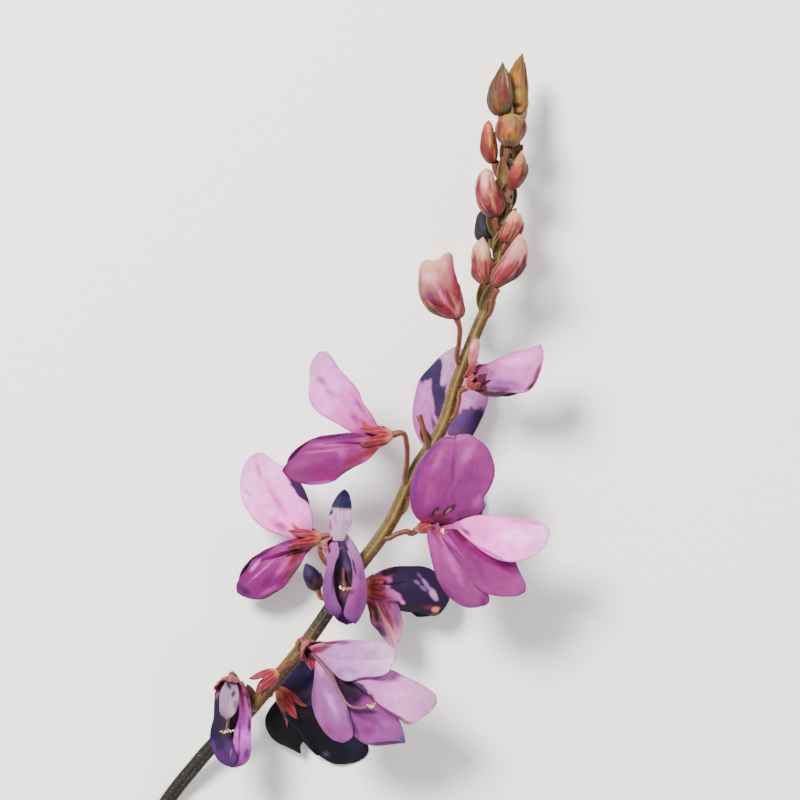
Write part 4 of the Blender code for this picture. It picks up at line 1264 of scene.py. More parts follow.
# The hidden wing and keel of flower 4 are painted as dark: painted shadow.
side_petal(
    4, "wing_right",
    face=(0, 0.15, -1), width=5.0, bow=-0.06, fullness=0.35,
    tint=painted((0, "#652A43"), (0.3, "#26103F"), (1, "#140628")),
)
side_petal(
    4, "keel",
    face=(0.1, 1, 0), width=5.0, fold=60,
    tint=painted((0, "#652A43"), (0.3, "#1D0D36"), (0.8, "#17082C"), (1, "#372130")),
)
side_petal(
    5, "wing_left",
    face=(-0.5, 0, 0.85), fold=-20, arch=0.08, cells=(28, 48),
    right=[
        (-2.9, -14.25), (-3.4, -15.5), (-3.4, -17), (-3.75, -18.5), (-3.95, -20.1), (-3.75, -21.6),
        (-3.25, -22.75), (-2.4, -23.4),
    ],
    left=[
        (-2.1, -14.25), (-1.9, -15.5), (-2.4, -16.9), (-2.6, -18.25), (-2.5, -19.9), (-2.1, -21.4),
        (-1.6, -22.6), (-2.1, -23.5),
    ],
    tint=painted((0, "#8D498A"), (0.3, "#7C3B79"), (0.5, "#632F67"), (0.8, "#59245F"), (1, "#420D50")),
    marks=[(-3.6, -19.5, 1.75, 0.2, -86, "#5B2769", 0.8), (-2.7, -19.1, 1.5, 0.2, 88, "#361642", 0.6)],
)
side_petal(
    5, "wing_right",
    face=(0.5, 0, 0.85), fold=-20, arch=0.08, cells=(28, 48),
    right=[
        (-1.5, -13.6), (-1, -15.25), (-0.4, -16.9), (-0.25, -18.75), (-0.6, -20.4), (-1.1, -21.9),
        (-1.25, -23.25), (0.1, -24.25),
    ],
    left=[
        (-1, -13.25), (-0.25, -14.25), (0.5, -15.5), (1, -17), (1.3, -18.6), (1.5, -20.4), (1.4, -21.9),
        (0.9, -23.25), (0.1, -24.25),
    ],
    tint=painted((0, "#A87CA1"), (0.25, "#895A86"), (0.45, "#7D3B7E"), (0.7, "#6F2E66"), (1, "#572A66")),
    marks=[
        (0.7, -18.6, 1.4, 0.3, -85, "#713069", 0.8), (0.4, -21.75, 1.25, 0.4, 88, "#642C64", 0.8),
        (-0.05, -17.4, 1.25, 0.15, -75, "#37203A", 0.5), (0.1, -15.1, 1.25, 0.1, -62, "#715061", 0.5),
    ],
)
# The keel, deep between the wings, is painted dark: its own violet deepened with painted shade.
side_petal(
    5, "keel",
    face=(0, 0.1, 1), fold=2, arch=-0.08, cells=(32, 56),
    right=[
        (-2.1, -13.9), (-2.6, -16), (-3, -18.5), (-3, -20.6), (-2.9, -22.4), (-2.25, -23.8), (-1, -24.45),
    ],
    left=[
        (-1.4, -13.9), (-0.4, -16.1), (0.4, -18.5), (0.5, -20.6), (0.5, -22.4), (0.25, -23.9),
        (-1, -24.45),
    ],
    tint=painted(
        (0, "#321A40"), (0.15, "#2E1E43"), (0.35, "#261638"), (0.44, "#250C1E"), (0.5, "#381630"),
        (0.62, "#4B243B"), (0.72, "#2E173F"), (0.82, "#471A55"), (1, "#421346"),
    ),
    marks=[
        (-1.9, -15.5, 1, 0.5, 80, "#412F58", 0.8), (-0.9, -17.4, 1.25, 0.25, -72, "#4B3A59", 0.8),
        (-2.1, -19.9, 1.25, 0.25, 88, "#220F2F", 0.7), (-1.25, -16.75, 1.25, 0.4, -70, "#3C2C4A", 0.7),
        (-2.25, -17, 1.25, 0.3, 85, "#211535", 0.6), (-0.6, -18.4, 0.75, 0.4, -70, "#2E0B1B", 0.6),
        (-1.5, -18.75, 0.5, 0.4, 0, "#180611", 0.6), (-1.9, -21.9, 0.75, 0.5, 20, "#1A0E31", 0.5),
        (-0.4, -20.5, 0.6, 0.35, 80, "#61374E", 0.7), (-1.5, -20.6, 0.6, 0.5, 0, "#4E2739", 0.7),
        (-0.5, -23.75, 0.5, 0.4, 0, "#421346", 0.7), (-1.25, -23.1, 0.6, 0.4, 0, "#572A66", 0.8),
    ],
)
# The pale lines near this wing's upper edge are painted highlights.
side_petal(
    6, "wing_left",
    face=(0.1, 0.25, 1), cells=(40, 56),
    right=[
        (-6.9, -14.25), (-8.4, -14.25), (-9.9, -14.9), (-11.1, -15.9), (-12.1, -16.5), (-12.9, -16.75),
        (-13.6, -17.9), (-14.5, -19), (-15, -20), (-14.9, -20.9),
    ],
    left=[
        (-6.25, -16.1), (-6.9, -17.4), (-8, -18.9), (-8.9, -20.1), (-10.25, -21), (-11.6, -21.7),
        (-12.9, -21.75), (-14, -21.45), (-14.9, -20.9),
    ],
    tint=painted(
        (0, "#812641"), (0.12, "#75205A"), (0.3, "#7D2766"), (0.5, "#671259"), (0.85, "#651256"),
        (1, "#420E48"),
    ),
    marks=[
        (-7.75, -16.6, 1.25, 0.6, 48, "#6A1825", 0.6), (-6.9, -15.4, 1, 0.6, 40, "#6A1B27", 0.6),
        (-11.6, -18, 2.5, 0.15, 42, "#AA3899", 0.7), (-7.9, -19.5, 1.5, 0.25, 52, "#381B19", 0.5),
        (-10.6, -19.5, 2, 0.5, 42, "#650A53", 0.9), (-9, -17.4, 1.9, 0.4, 54, "#A0377A", 0.8),
        (-8.75, -18.75, 1.9, 0.3, 52, "#64123B", 0.7), (-7.6, -18.25, 1.5, 0.5, 50, "#512A26", 0.5),
        (-12.6, -17.5, 1, 0.25, 48, "#B758A8", 0.7), (-8.6, -14.55, 1.4, 0.25, 18, "#58045A", 0.6),
        (-10.9, -20.6, 1.25, 0.3, 28, "#853371", 0.8), (-14, -20.6, 1, 0.45, -40, "#360F39", 0.6),
        (-11.25, -19.5, 0.75, 0.4, 40, "#5B0652", 0.8), (-10.9, -16.9, 1, 0.4, 40, "#7E296C", 0.9),
        (-10.6, -21.2, 2, 0.2, 25, "#411B2C", 0.6),
    ],
)
side_petal(
    6, "wing_right",
    face=(0.1, 0.25, -1), width=4.8,
    tint=painted((0, "#941236"), (0.3, "#6E1661"), (1, "#4B114D")),
)
side_petal(
    6, "keel",
    face=(-0.5, 0.85, 0), width=5.0, fold=62,
    tint=painted((0, "#941236"), (0.3, "#76025F"), (1, "#561152")),
)
side_petal(
    7, "wing_left",
    face=(-0.4, -0.1, 0.9), fold=-8, cells=(40, 56),
    right=[
        (9.1, -12), (9, -13.4), (9.25, -15), (9.6, -16.6), (10, -18.1), (10.6, -19.5), (11.6, -20.9),
        (12.9, -21.9), (13.75, -22.25), (15, -22.25),
    ],
    left=[
        (10.6, -12.25), (12.1, -14), (13.4, -15.75), (14.5, -17.5), (15.4, -18.9), (16.1, -19.9),
        (16.6, -20.75), (16.6, -21.6), (15, -22.25),
    ],
    tint=painted(
        (0, "#65143F"), (0.08, "#7B2763"), (0.25, "#853171"), (0.55, "#752A65"), (0.85, "#6E2861"),
        (1, "#682161"),
    ),
    marks=[
        (9.9, -12.75, 1, 0.5, -30, "#71103A", 0.6), (9.1, -14.75, 2.5, 0.2, -86, "#580E48", 0.6),
        (10.6, -14.25, 1.75, 0.25, -58, "#641248", 0.7), (12.1, -16.75, 3.25, 0.55, -63, "#963E7E", 0.9),
        (9.6, -16.9, 3.25, 0.3, -74, "#641256", 0.8), (11.4, -20.4, 1.5, 0.5, -48, "#5F1454", 0.9),
        (13.9, -17.4, 3, 0.2, -62, "#671E5C", 0.8), (16, -21.25, 0.75, 0.5, 80, "#5F1150", 0.8),
        (14.4, -21.4, 1.1, 0.4, 0, "#762E66", 0.9), (10.6, -12.9, 1, 0.4, -40, "#722243", 0.8),
    ],
)
# This wing is painted paler than the left, partly its own pale pink and partly painted light on its face;
# the pale bloom in its middle is a painted highlight.
side_petal(
    7, "wing_right",
    face=(0.1, 0.25, 0.95), cells=(36, 56),
    right=[
        (12.6, -12.6), (13.9, -13.75), (15.4, -15), (16.9, -15.95), (18.4, -16.5), (20, -16.55),
        (21.6, -16.1), (22.9, -15.25), (23.75, -14.1), (24.1, -13.1),
    ],
    left=[
        (12.75, -11.75), (14.1, -11.2), (15.6, -10.9), (17.6, -11), (19.6, -11.2), (21.6, -11.5),
        (23.1, -11.8), (23.8, -12.25), (24.1, -13.1),
    ],
    tint=painted(
        (0, "#650B4E"), (0.06, "#98397B"), (0.16, "#E061B8"), (0.5, "#ED75D2"), (1, "#E793D9"), veins=0.2
    ),
    marks=[
        (13.75, -12.9, 1.1, 0.3, -38, "#742A5D", 0.7), (16.9, -15.6, 3.25, 0.2, -28, "#993C81", 0.7),
        (21.1, -11.75, 2.5, 0.3, -7, "#C45DA6", 0.8), (20, -13.5, 2.25, 1, -10, "#F7A7F7", 0.9),
        (15.4, -13, 1.25, 0.6, -50, "#D461B4", 0.9), (23.1, -13.5, 0.75, 1.1, 0, "#E2A0DA", 0.9),
    ],
)
# The dark marks along the keel's upper edge are painted shadow of the right wing.
side_petal(
    7, "keel",
    face=(0.35, 0.5, 0.8), fold=14, cells=(40, 56),
    right=[
        (10.4, -12.9), (11.9, -15.4), (13.4, -17.25), (14.6, -19.1), (16.1, -20.4), (17.5, -20.75),
        (19.1, -20.9), (20.4, -20.8), (21.1, -20.4),
    ],
    left=[
        (12.9, -12.5), (15.4, -13.9), (17.25, -15.25), (18.6, -16), (19.75, -16.4), (20.25, -17.5),
        (20.75, -18.6), (21.2, -19.5), (21.1, -20.4),
    ],
    tint=painted((0, "#8C296B"), (0.15, "#73185E"), (0.4, "#722360"), (1, "#7F2F6C")),
    marks=[
        (13.1, -13.6, 1.25, 0.5, -42, "#550239", 0.5), (16.4, -16.25, 4.4, 0.5, -29, "#680254", 0.5),
        (18.75, -17, 1.4, 0.4, -5, "#60024E", 0.6), (15.4, -17.6, 2.5, 0.4, -58, "#671C59", 0.9),
        (20.4, -18.9, 1.25, 0.4, -60, "#843875", 0.9), (17.1, -18.9, 1.5, 0.6, -30, "#792967", 0.9),
    ],
)
# The thin paler lines across this wing are painted highlights.
side_petal(
    8, "wing_left",
    face=(0.05, 0.2, 1), cells=(40, 56),
    right=[
        (2.1, -0.75), (0.4, -0.7), (-1, -0.95), (-2.9, -1.3), (-4.4, -1.5), (-5.25, -1.6), (-6.4, -2.5),
        (-7.5, -3.7), (-8.5, -4.6), (-8.9, -5.4),
    ],
    left=[
        (3.1, -2.6), (1.6, -4.1), (-0.1, -5), (-1.4, -5.8), (-2.6, -6.7), (-4.1, -7.05), (-5.9, -7.1),
        (-7.25, -6.7), (-8.4, -6), (-8.9, -5.4),
    ],
    tint=painted((0, "#86173F"), (0.15, "#9C2F6D"), (0.3, "#721A60"), (0.5, "#691356"), (1, "#621453")),
    marks=[
        (0.9, -3.5, 1.5, 0.5, 32, "#711930", 0.6), (2.1, -2.9, 1, 0.75, 30, "#641723", 0.6),
        (-3.1, -2.9, 3.25, 0.15, 6, "#9E3386", 0.7), (0.6, -5.1, 1.75, 0.3, 35, "#2F1314", 0.5),
        (-2.5, -4, 2.5, 0.6, 6, "#670A59", 0.9), (-1.25, -1.2, 4, 0.35, 4, "#4E0648", 0.5),
        (-3.4, -2.2, 2.25, 0.3, 3, "#963D80", 0.8), (-3.6, -6.1, 1.5, 0.3, 8, "#700554", 0.7),
        (-3.75, -6.8, 1.9, 0.2, 4, "#94357D", 0.7), (-0.4, -4.25, 1.1, 0.55, 30, "#680F37", 0.7),
        (-0.6, -5.4, 1.75, 0.4, 25, "#432123", 0.5), (-1.5, -3.1, 0.75, 1, 0, "#8B2973", 0.9),
        (-6.9, -4.9, 1.25, 0.6, 30, "#6C1C58", 0.9),
    ],
)
side_petal(
    8, "wing_right",
    face=(0.05, 0.2, -1), width=5.2,
    tint=painted((0, "#AF1887"), (0.3, "#6E1661"), (1, "#4E114D")),
)
side_petal(
    8, "keel",
    face=(-0.3, 0.95, 0), width=5.2, fold=62,
    tint=painted((0, "#8A1A37"), (0.3, "#76025F"), (1, "#56104D")),
)
side_petal(
    9, "wing_left",
    face=(-0.3, 0, 1), width=5.0,
    tint=painted((0, "#A34CA7"), (0.4, "#BF51BC"), (1, "#AD5EB4")),
)
# Flower 9's right wing and keel, under flower 7, are painted dark navy: painted shade.
side_petal(
    9, "wing_right",
    face=(0.3, 0, 1), width=5.0,
    tint=painted((0, "#381B4D"), (0.4, "#2F1043"), (1, "#2F124D")),
)
side_petal(
    9, "keel",
    face=(0, 0.1, -1), width=4.4, fold=30,
    tint=painted((0, "#4C2358"), (1, "#381B4D")),
)
# The dark marks along this wing's lower edge are painted shade.
side_petal(
    10, "wing_left",
    face=(-0.1, 0.2, 1), fold=-12, cells=(40, 52),
    right=[
        (13.9, 5.4), (14.9, 4.6), (16.1, 3.95), (17.1, 3.7), (18.25, 3.8), (19.25, 4.2), (20.6, 4.2),
        (21.6, 4.5), (22.4, 5.4), (22.95, 6.6), (23.3, 7.9), (23.4, 9.1), (23.1, 10.25),
    ],
    left=[(14.4, 7.25), (15.5, 7.8), (16.5, 7.95), (17.9, 8.6), (19.6, 9.25), (21.4, 9.75), (23.1, 10.25)],
    tint=painted(
        (0, "#662836"), (0.12, "#762950"), (0.22, "#783670"), (0.35, "#9F528D"), (0.55, "#BA5FA9"),
        (1, "#BE70AE"),
    ),
    marks=[
        (15.4, 6.9, 1, 0.6, -20, "#601D3A", 0.6), (16.4, 6.9, 1.1, 0.5, -10, "#6C2455", 0.8),
        (15.1, 5.4, 1, 0.6, -40, "#2F0C0F", 0.5), (16, 6.6, 1.5, 0.9, -20, "#77316B", 0.9),
        (18.75, 5.4, 2.5, 0.6, -8, "#7A3979", 0.9), (18.1, 4.75, 2.5, 0.4, -3, "#51264D", 0.7),
        (18, 4.1, 3.1, 0.4, -2, "#270F19", 0.5), (15.75, 4.75, 1.5, 0.5, -35, "#300F11", 0.5),
        (22.6, 6.4, 2, 0.4, 70, "#68294B", 0.7), (21.9, 5, 1, 0.45, 40, "#3A1327", 0.6),
        (15.75, 7.6, 1, 0.2, 12, "#641935", 0.6), (20.6, 8.4, 2, 0.75, 10, "#D17BBF", 0.9),
    ],
)
side_petal(
    10, "wing_right",
    face=(0.1, 0.1, -1), width=3.8, bow=0.16, fullness=0.4,
    tint=painted((0, "#4B121E"), (0.3, "#4B2046"), (1, "#2F0719")),
)
side_petal(
    10, "keel",
    face=(0.2, 1, 0), width=1.6, fold=20, bow=0.1,
    tint=painted((0, "#4B121E"), (0.4, "#41183A"), (1, "#2F0719")),
)

# The stamens. A fleshy tube of joined filaments that curves up out of the throat, and at its
# end ten free threads, each with a small yellow anther.

COLUMN_RADIUS = 0.24
COLUMN_FOOT = linear("#6D3948")
COLUMN_TIP = linear("#572D2C")
ANTHERS = 10
ANTHER_SIZE = (0.1, 0.1, 0.2)
THREAD_RADIUS = 0.05

# Filament: soft, moist and translucent, so fairly smooth with light passing through it.
filament, tree, shader = started("filament, moist", 0.4, glow=0.4)
paint = add(tree, "Attribute", attribute_name="paint")
spot = add(tree, "TexCoord")
grain = add(tree, "TexNoise", {"Vector": spot.outputs["Object"], "Scale": 3000, "Detail": 3})
shade = grain.outputs["Fac"]
grained(tree, shader, paint.outputs["Color"], shade, (0.3, 0.7), (0.88, 1.1), shade, 0.3, 0.05)

# The open throats show their stamens: the points each passes, and how far and which way its
# anthers stand apart. The others lie straight in their keels.
SHOWN_STAMENS = {
    1: ([(-15.6, -35.2, 12.0), (-15.8, -37.0, 13.2), (-15.9, -37.5, 14.1)], (-1.5, 0.1, 0.1)),
    3: (
        [
            (-2.7, -31.1, 15.6), (-1.7, -32.9, 16.9), (-0.6, -34.3, 17.5), (1, -34.6, 17.8),
            (1.7, -34.4, 17.9),
        ],
        (0.7, 0.1, 0),
    ),
    5: ([(-1.4, -15.2, 12.6), (-1.4, -17.8, 13.6), (-1.3, -19.6, 16.2)], (1.2, 0, 0)),
    7: ([(10.3, -12.4, 14.2), (10.7, -12.7, 14.6)], (0.3, -0.2, 0)),
}

for number, head in HEADS.items():
    throat, axis, up = throat_axes(head)
    foot = throat - up * 0.3
    if number in SHOWN_STAMENS:
        passed, fan = SHOWN_STAMENS[number]
        passed = [Vector(point) for point in passed]
    else:
        hidden = Vector(head["stamens"])
        passed, fan = [throat.lerp(hidden, 0.1), throat.lerp(hidden, 0.25)], (0.1, 0.1, 0)
    end = passed[-1]
    fan = Vector(fan)
    reach = (end - passed[-2]).normalized()

    def column_radius(_turn, share):
        return COLUMN_RADIUS * (1.15 - 0.5 * share)

    def column_tint(_turn, share):
        return (*COLUMN_FOOT.lerp(COLUMN_TIP, share), 1)

    stamens = strand([foot - axis * 0.6, foot, *passed], 6, 12, column_radius, column_tint)
    spread = reach.orthogonal().normalized()
    other = reach.cross(spread)
    for index in range(ANTHERS):
        turn = 2 * math.pi * index / ANTHERS
        out = spread * math.cos(turn) + other * math.sin(turn)
        tip = end + reach * (0.35 + 0.25 * (index % 2)) + out * 0.16 + fan * (index - 4.5) / 9
        tint = (*linear("#F7CD90" if index < 6 else "#A98102"), 1)
        thread = strand(
            [end - reach * 0.3 + out * 0.05, end.lerp(tip, 0.4) + reach * 0.1, tip],
            3,
            5,
            lambda _turn, _share: THREAD_RADIUS,
            column_tint,
        )
        gathered(stamens, thread)
        place = Matrix.LocRotScale(tip, out.to_track_quat("Z", "Y"), Vector(ANTHER_SIZE))
        anther = bmesh.ops.create_icosphere(stamens, subdivisions=2, radius=1, matrix=place)
        layer = stamens.verts.layers.float_color["paint"]
        for vert in anther["verts"]:
            vert[layer] = tint
    name = f"flower_{number:02d}_stamens"
    finished(name, stamens, filament, [f"flower_{number:02d}_wings_keel"])

# The buds. Closed flowers: petals folded together, pale pink at the tip, in a calyx whose
# five lobes still lie on them, red in streaks. The youngest, at the top, are yellow-green.

# The colours of a bud: tip, side, foot, calyx and streaks.
PINK_BUD = ("#C28774", "#8E4544", "#5E1B1D", "#6A2122", "#410C11")
RED_BUD = ("#A36F4E", "#7A362B", "#571A18", "#611E1A", "#3C0C0D")
GREEN_BUD = ("#976922", "#6F6724", "#545825", "#615826", "#712B21")
BUD_DEPTH = 0.9
BUD_STREAKS = 9
BUD_SEPAL_WALL = 0.12


def bud(number, pointed, cover, swell, colours, notch=0, left=(), right=(), marks=()):
    """A bud: how pointed its tip is, how far its calyx covers it, and where it is widest.

    A swell over 1 is nearer to the tip. A bud that shows has the outline seen from above, its
    left and right edges through the knots from foot to tip; the notch lies between its lips.
    """
    tip_colour, side_colour, foot_colour, sepal_colour, streak_colour = map(linear, colours)
    place = BUDS[number]
    foot = Vector(place["foot"])
    axis = Vector(place["tip"]) - foot
    length = axis.length
    axis.normalize()
    round_side = axis.cross(Vector((0, 0, 1))).normalized() * place["radius"]
    if left:
        left, right = evenly(left), evenly(right)

    def ring(turn, along, proud=0.0):
        """A point of the bud's skin, or of a skin that stands proud of it by so much."""
        if left:
            middle = (left(along) + right(along)) / 2
            middle.z = foot.z + axis.z * length * along
            across_way = (right(along) - left(along)) / 2
        else:
            middle = foot + axis * length * along
            across_way = round_side * math.sin(math.pi * along**swell) ** (0.62 + pointed * along)
        half = across_way.length
        if half > 1e-6:
            across_way *= (half + proud) / half
        deep = Vector((0, 0, BUD_DEPTH * half + proud))
        seam = 1 - 0.08 * math.exp(-((math.cos(turn) / 0.16) ** 2)) * ease(0.5, 0.9, along)
        point = middle + (across_way * math.cos(turn) + deep * math.sin(turn)) * seam
        return point - axis * notch * math.sin(turn) ** 2 * ease(0.72, 1, along)

    def body_place(across, along):
        return ring(2 * math.pi * across, along)

    def body_tint(across, along):
        turn = 2 * math.pi * across
        colour = foot_colour.lerp(side_colour, ease(0.1, 0.5, along))
        colour = colour.lerp(tip_colour, ease(0.35, 0.8, along))
        streak = (0.5 + 0.5 * math.cos(BUD_STREAKS * turn + math.sin(3 * turn))) ** 3
        colour = colour.lerp(streak_colour, 0.5 * streak * (1 - ease(0.3, 0.75, along)))
        # Painted shade: darker at its sides, seen from above.
        return (*colour * (1 - 0.35 * math.cos(turn) ** 8), 0.3)

    def sepal_place(across, along):
        turn = 2 * math.pi * across
        point = (abs((across * LOBES) % 1 - 0.5) * 2) ** 1.2
        top = cover * (0.5 + 0.5 * point)
        at = 0.02 + (top - 0.02) * along
        rib = 0.08 + 0.04 * math.cos(NERVES * turn)
        return ring(turn, at, rib * math.sin(math.pi * (0.15 + 0.7 * along)))

    def sepal_tint(across, along):
        turn = 2 * math.pi * across
        colour = sepal_colour.lerp(side_colour, 0.5 * ease(0.6, 1, along))
        nerve = (0.5 + 0.5 * math.cos(NERVES * turn)) ** 3
        colour = colour.lerp(streak_colour, 0.7 * nerve)
        pale = (0.5 - 0.5 * math.cos(NERVES * turn)) ** 2
        colour = colour.lerp(tip_colour, 0.35 * pale)
        # Darker at its sides seen from above, a painted shade, and darker towards its foot.
        return (*colour * (1 - 0.4 * math.cos(turn) ** 8) * (1 - 0.3 * (1 - ease(0, 0.3, along))), 1)

    name = f"bud_{number:02d}"
    body = closed(grown_sheet(44, 36, body_place, marked(body_tint, body_place, marks)))
    finished(name + "_petals", body, petal_tissue, [name])
    sepals = closed(grown_sheet(60, 16, sepal_place, marked(sepal_tint, sepal_place, marks)))
    finished(name + "_sepals", sepals, calyx_skin, [name], wall=BUD_SEPAL_WALL)


bud(
    1, 0.0, 0.42, 1.25, PINK_BUD,
    notch=1.3,
    left=[
        (11.9, 13.4), (10.4, 13.9), (9.1, 14.6), (8.25, 15.75), (7.9, 17), (7.9, 18.5), (8.05, 19.9),
        (8.5, 20.6), (9.25, 20.75), (10.25, 20.5),
    ],
    right=[
        (13.25, 13.5), (13.6, 14.25), (13.4, 15.5), (13.1, 17), (12.75, 18.4), (12.4, 19.6),
        (12.25, 20.75), (12, 21.6), (11.4, 21.7), (10.25, 20.5),
    ],
    marks=[
        (11.5, 14.5, 1.25, 0.5, -40, "#6A0A25", 0.6), (9.9, 15.5, 1.75, 0.4, -48, "#6A1832", 0.7),
        (13, 15.9, 1.75, 0.25, -80, "#781A2F", 0.7), (8.1, 17.75, 1.75, 0.2, 88, "#6E454D", 0.7),
        (10.75, 18.4, 1.5, 0.15, -72, "#845660", 0.7), (9.4, 16.25, 0.9, 0.5, -40, "#612F53", 0.8),
        (10.1, 15.1, 1.1, 0.5, -50, "#4B1723", 0.8), (11.4, 16, 1.25, 0.25, -65, "#800F35", 0.8),
        (12.5, 17.75, 2, 0.3, -82, "#911F3B", 0.7), (10.5, 16.75, 1.75, 0.2, -62, "#BF5396", 0.7),
        (11.9, 19.6, 1.25, 0.3, -80, "#BA4C83", 0.8), (9.4, 18.6, 1.1, 0.75, 0, "#BD8E99", 0.9),
        (11.25, 20.4, 1, 0.5, 80, "#C68B8D", 0.9), (9.6, 14.4, 2, 0.3, -28, "#2E1A14", 0.6),
        (12.75, 14.6, 1, 0.3, 80, "#B7565C", 0.7),
    ],
)
bud(
    2, 0.1, 0.55, 0.85, PINK_BUD,
    left=[
        (16.1, 17.6), (15.25, 18.25), (14.6, 19), (14.5, 20.25), (14.5, 21.5), (14.75, 22.5),
        (15.4, 23.25), (16, 23.75),
    ],
    right=[(16.6, 17.75), (17, 18.6), (17.2, 19.9), (17.1, 21.1), (16.9, 22.1), (16.5, 23), (16, 23.75)],
    marks=[
        (14.9, 19.6, 1.5, 0.25, 84, "#55191E", 0.6), (16.25, 19.4, 1.25, 0.25, -84, "#5F1821", 0.6),
        (15.6, 21.1, 1.5, 0.15, 84, "#764847", 0.7), (16, 22.1, 1.25, 0.5, 85, "#C7A67A", 0.8),
        (14.9, 20.6, 1.5, 0.25, 90, "#6B2F2C", 0.7), (15.75, 19.4, 1, 0.4, 80, "#853F35", 0.8),
        (16.4, 18.5, 0.6, 0.4, 0, "#6B3426", 0.8),
    ],
)
bud(
    3, 0.1, 0.55, 0.85, PINK_BUD,
    left=[(17, 17.6), (17, 18.9), (17.6, 20.1), (18.4, 21.25), (19.25, 22.5), (19.9, 23.4), (20.5, 24)],
    right=[
        (17.75, 17.25), (19, 18), (20.25, 18.75), (21.1, 19.9), (21.5, 21.1), (21.4, 22.5), (21, 23.5),
        (20.5, 24),
    ],
    marks=[
        (18.5, 18.4, 1.25, 0.4, 45, "#5F131E", 0.6), (21, 19.9, 1.25, 0.25, 55, "#4B0F1A", 0.6),
        (19.9, 20.6, 1.25, 0.15, 60, "#6E454D", 0.7), (19.1, 21.9, 1.25, 0.15, 55, "#8B4A52", 0.7),
        (20, 22.1, 1.1, 1, 60, "#AD7881", 0.9), (20.4, 19.5, 1.25, 0.4, 45, "#55122C", 0.7),
        (18.1, 19.1, 1, 0.5, 60, "#811F33", 0.8), (18.75, 20.4, 1.25, 0.25, 62, "#B95666", 0.7),
        (19.4, 18.25, 1.4, 0.25, 30, "#2F1110", 0.6), (19.25, 19.6, 1, 0.4, 55, "#711C2B", 0.8),
        (21, 20.6, 1, 0.25, 75, "#55141E", 0.6),
    ],
)
bud(
    4, 0.1, 0.6, 0.85, PINK_BUD,
    left=[(18.25, 23), (18.1, 24.1), (18.5, 25.25), (19, 26.25), (19.75, 27.1)],
    right=[(19.4, 22.9), (20.25, 23.6), (20.8, 24.4), (20.95, 25.5), (20.75, 26.4), (19.75, 27.1)],
    marks=[
        (18.6, 23.6, 0.75, 0.4, 60, "#5F1B1A", 0.6), (20.5, 24.25, 1, 0.25, 60, "#551816", 0.6),
        (19.6, 24.9, 1.25, 0.15, 85, "#6D4335", 0.7), (19.75, 26.4, 0.75, 0.5, 60, "#C68969", 0.9),
        (20.4, 25.1, 1.1, 0.25, 85, "#91423B", 0.8), (18.9, 24.6, 1.1, 0.25, 70, "#994F35", 0.8),
    ],
)
bud(
    5, 0.2, 0.6, 0.85, PINK_BUD,
    left=[
        (17.1, 26), (16.1, 26.75), (15.4, 27.75), (15, 29.1), (15.05, 30.5), (15.5, 31.6), (16.25, 32.3),
    ],
    right=[
        (18.1, 26.4), (18.6, 27.5), (18.4, 28.75), (17.75, 29.9), (17.4, 31.1), (17, 32), (16.25, 32.3),
    ],
    marks=[
        (16.9, 26.9, 1.25, 0.6, -70, "#551516", 0.6), (18.25, 28.6, 1.75, 0.25, -74, "#420C0D", 0.6),
        (15.4, 30.1, 1.75, 0.25, 84, "#572127", 0.6), (16.9, 29.6, 2.25, 0.15, -80, "#6B342F", 0.6),
        (16.25, 30.9, 1.5, 0.4, 88, "#CD948C", 0.8), (15.5, 28.6, 1.5, 0.3, 85, "#79252E", 0.8),
        (17.9, 28, 1.6, 0.45, -75, "#6A1618", 0.5), (17.1, 28.4, 1.5, 0.2, -85, "#965B3A", 0.6),
        (16.75, 26.75, 0.6, 0.5, 0, "#371D20", 0.8), (18.4, 27.75, 1.4, 0.15, -80, "#381610", 0.6),
    ],
)
# Bud 6 lies in shade behind its neighbours and is painted near black: painted shade.
bud(
    6, 0.2, 0.6, 0.85, ("#241C27", "#1B141F", "#171019", "#1B141E", "#0F0B14"),
    left=[(16.1, 23.1), (15.4, 23.5), (15, 24.4), (15.05, 25.6), (15.4, 26.75), (15.9, 27.25)],
    right=[(17.1, 23.4), (17.1, 24.6), (17, 25.9), (16.6, 26.75), (15.9, 27.25)],
)
bud(
    7, 0.3, 0.65, 0.85, RED_BUD,
    left=[(19.5, 29.4), (19.1, 30.25), (19.1, 31.25), (19.4, 32.25), (19.9, 33.25), (20.75, 34.5)],
    right=[(20.25, 29.75), (21, 30.75), (21.5, 31.9), (21.4, 33), (21.1, 33.9), (20.75, 34.5)],
    marks=[
        (19.9, 30.1, 0.75, 0.5, -60, "#4B1012", 0.6), (20.75, 31.4, 1.1, 0.2, 62, "#4B1914", 0.6),
        (19.75, 30.75, 1, 0.5, -75, "#5F1816", 0.7), (20.25, 31.9, 0.9, 0.5, 60, "#8C3326", 0.8),
        (20.5, 33.4, 0.75, 0.5, 0, "#9F6241", 0.8), (21.1, 32.6, 1.1, 0.2, -85, "#54573D", 0.6),
    ],
)
bud(
    8, 0.3, 0.7, 0.85, ("#88562B", "#7A3524", "#5F1E19", "#6A221C", "#4B1312"),
    left=[
        (16.9, 32.9), (16.25, 33.6), (15.75, 34.75), (15.7, 35.9), (15.9, 37.1), (16.25, 38),
        (16.75, 38.45),
    ],
    right=[(17.6, 33.1), (17.75, 34.4), (17.6, 35.75), (17.4, 37), (17.1, 38), (16.75, 38.45)],
    marks=[
        (16.1, 35.6, 1.75, 0.25, 86, "#551014", 0.6), (17, 33.6, 0.75, 0.4, -80, "#551514", 0.6),
        (16.75, 37.4, 0.75, 0.4, 80, "#BE5D4C", 0.8), (16.25, 36.25, 1.1, 0.25, 85, "#8C2B30", 0.8),
        (16.9, 36, 1.1, 0.25, 88, "#A56E31", 0.7), (16.5, 34.5, 0.9, 0.4, -70, "#64171A", 0.8),
        (17.4, 34.25, 1.1, 0.2, -85, "#8A4B18", 0.7),
    ],
)
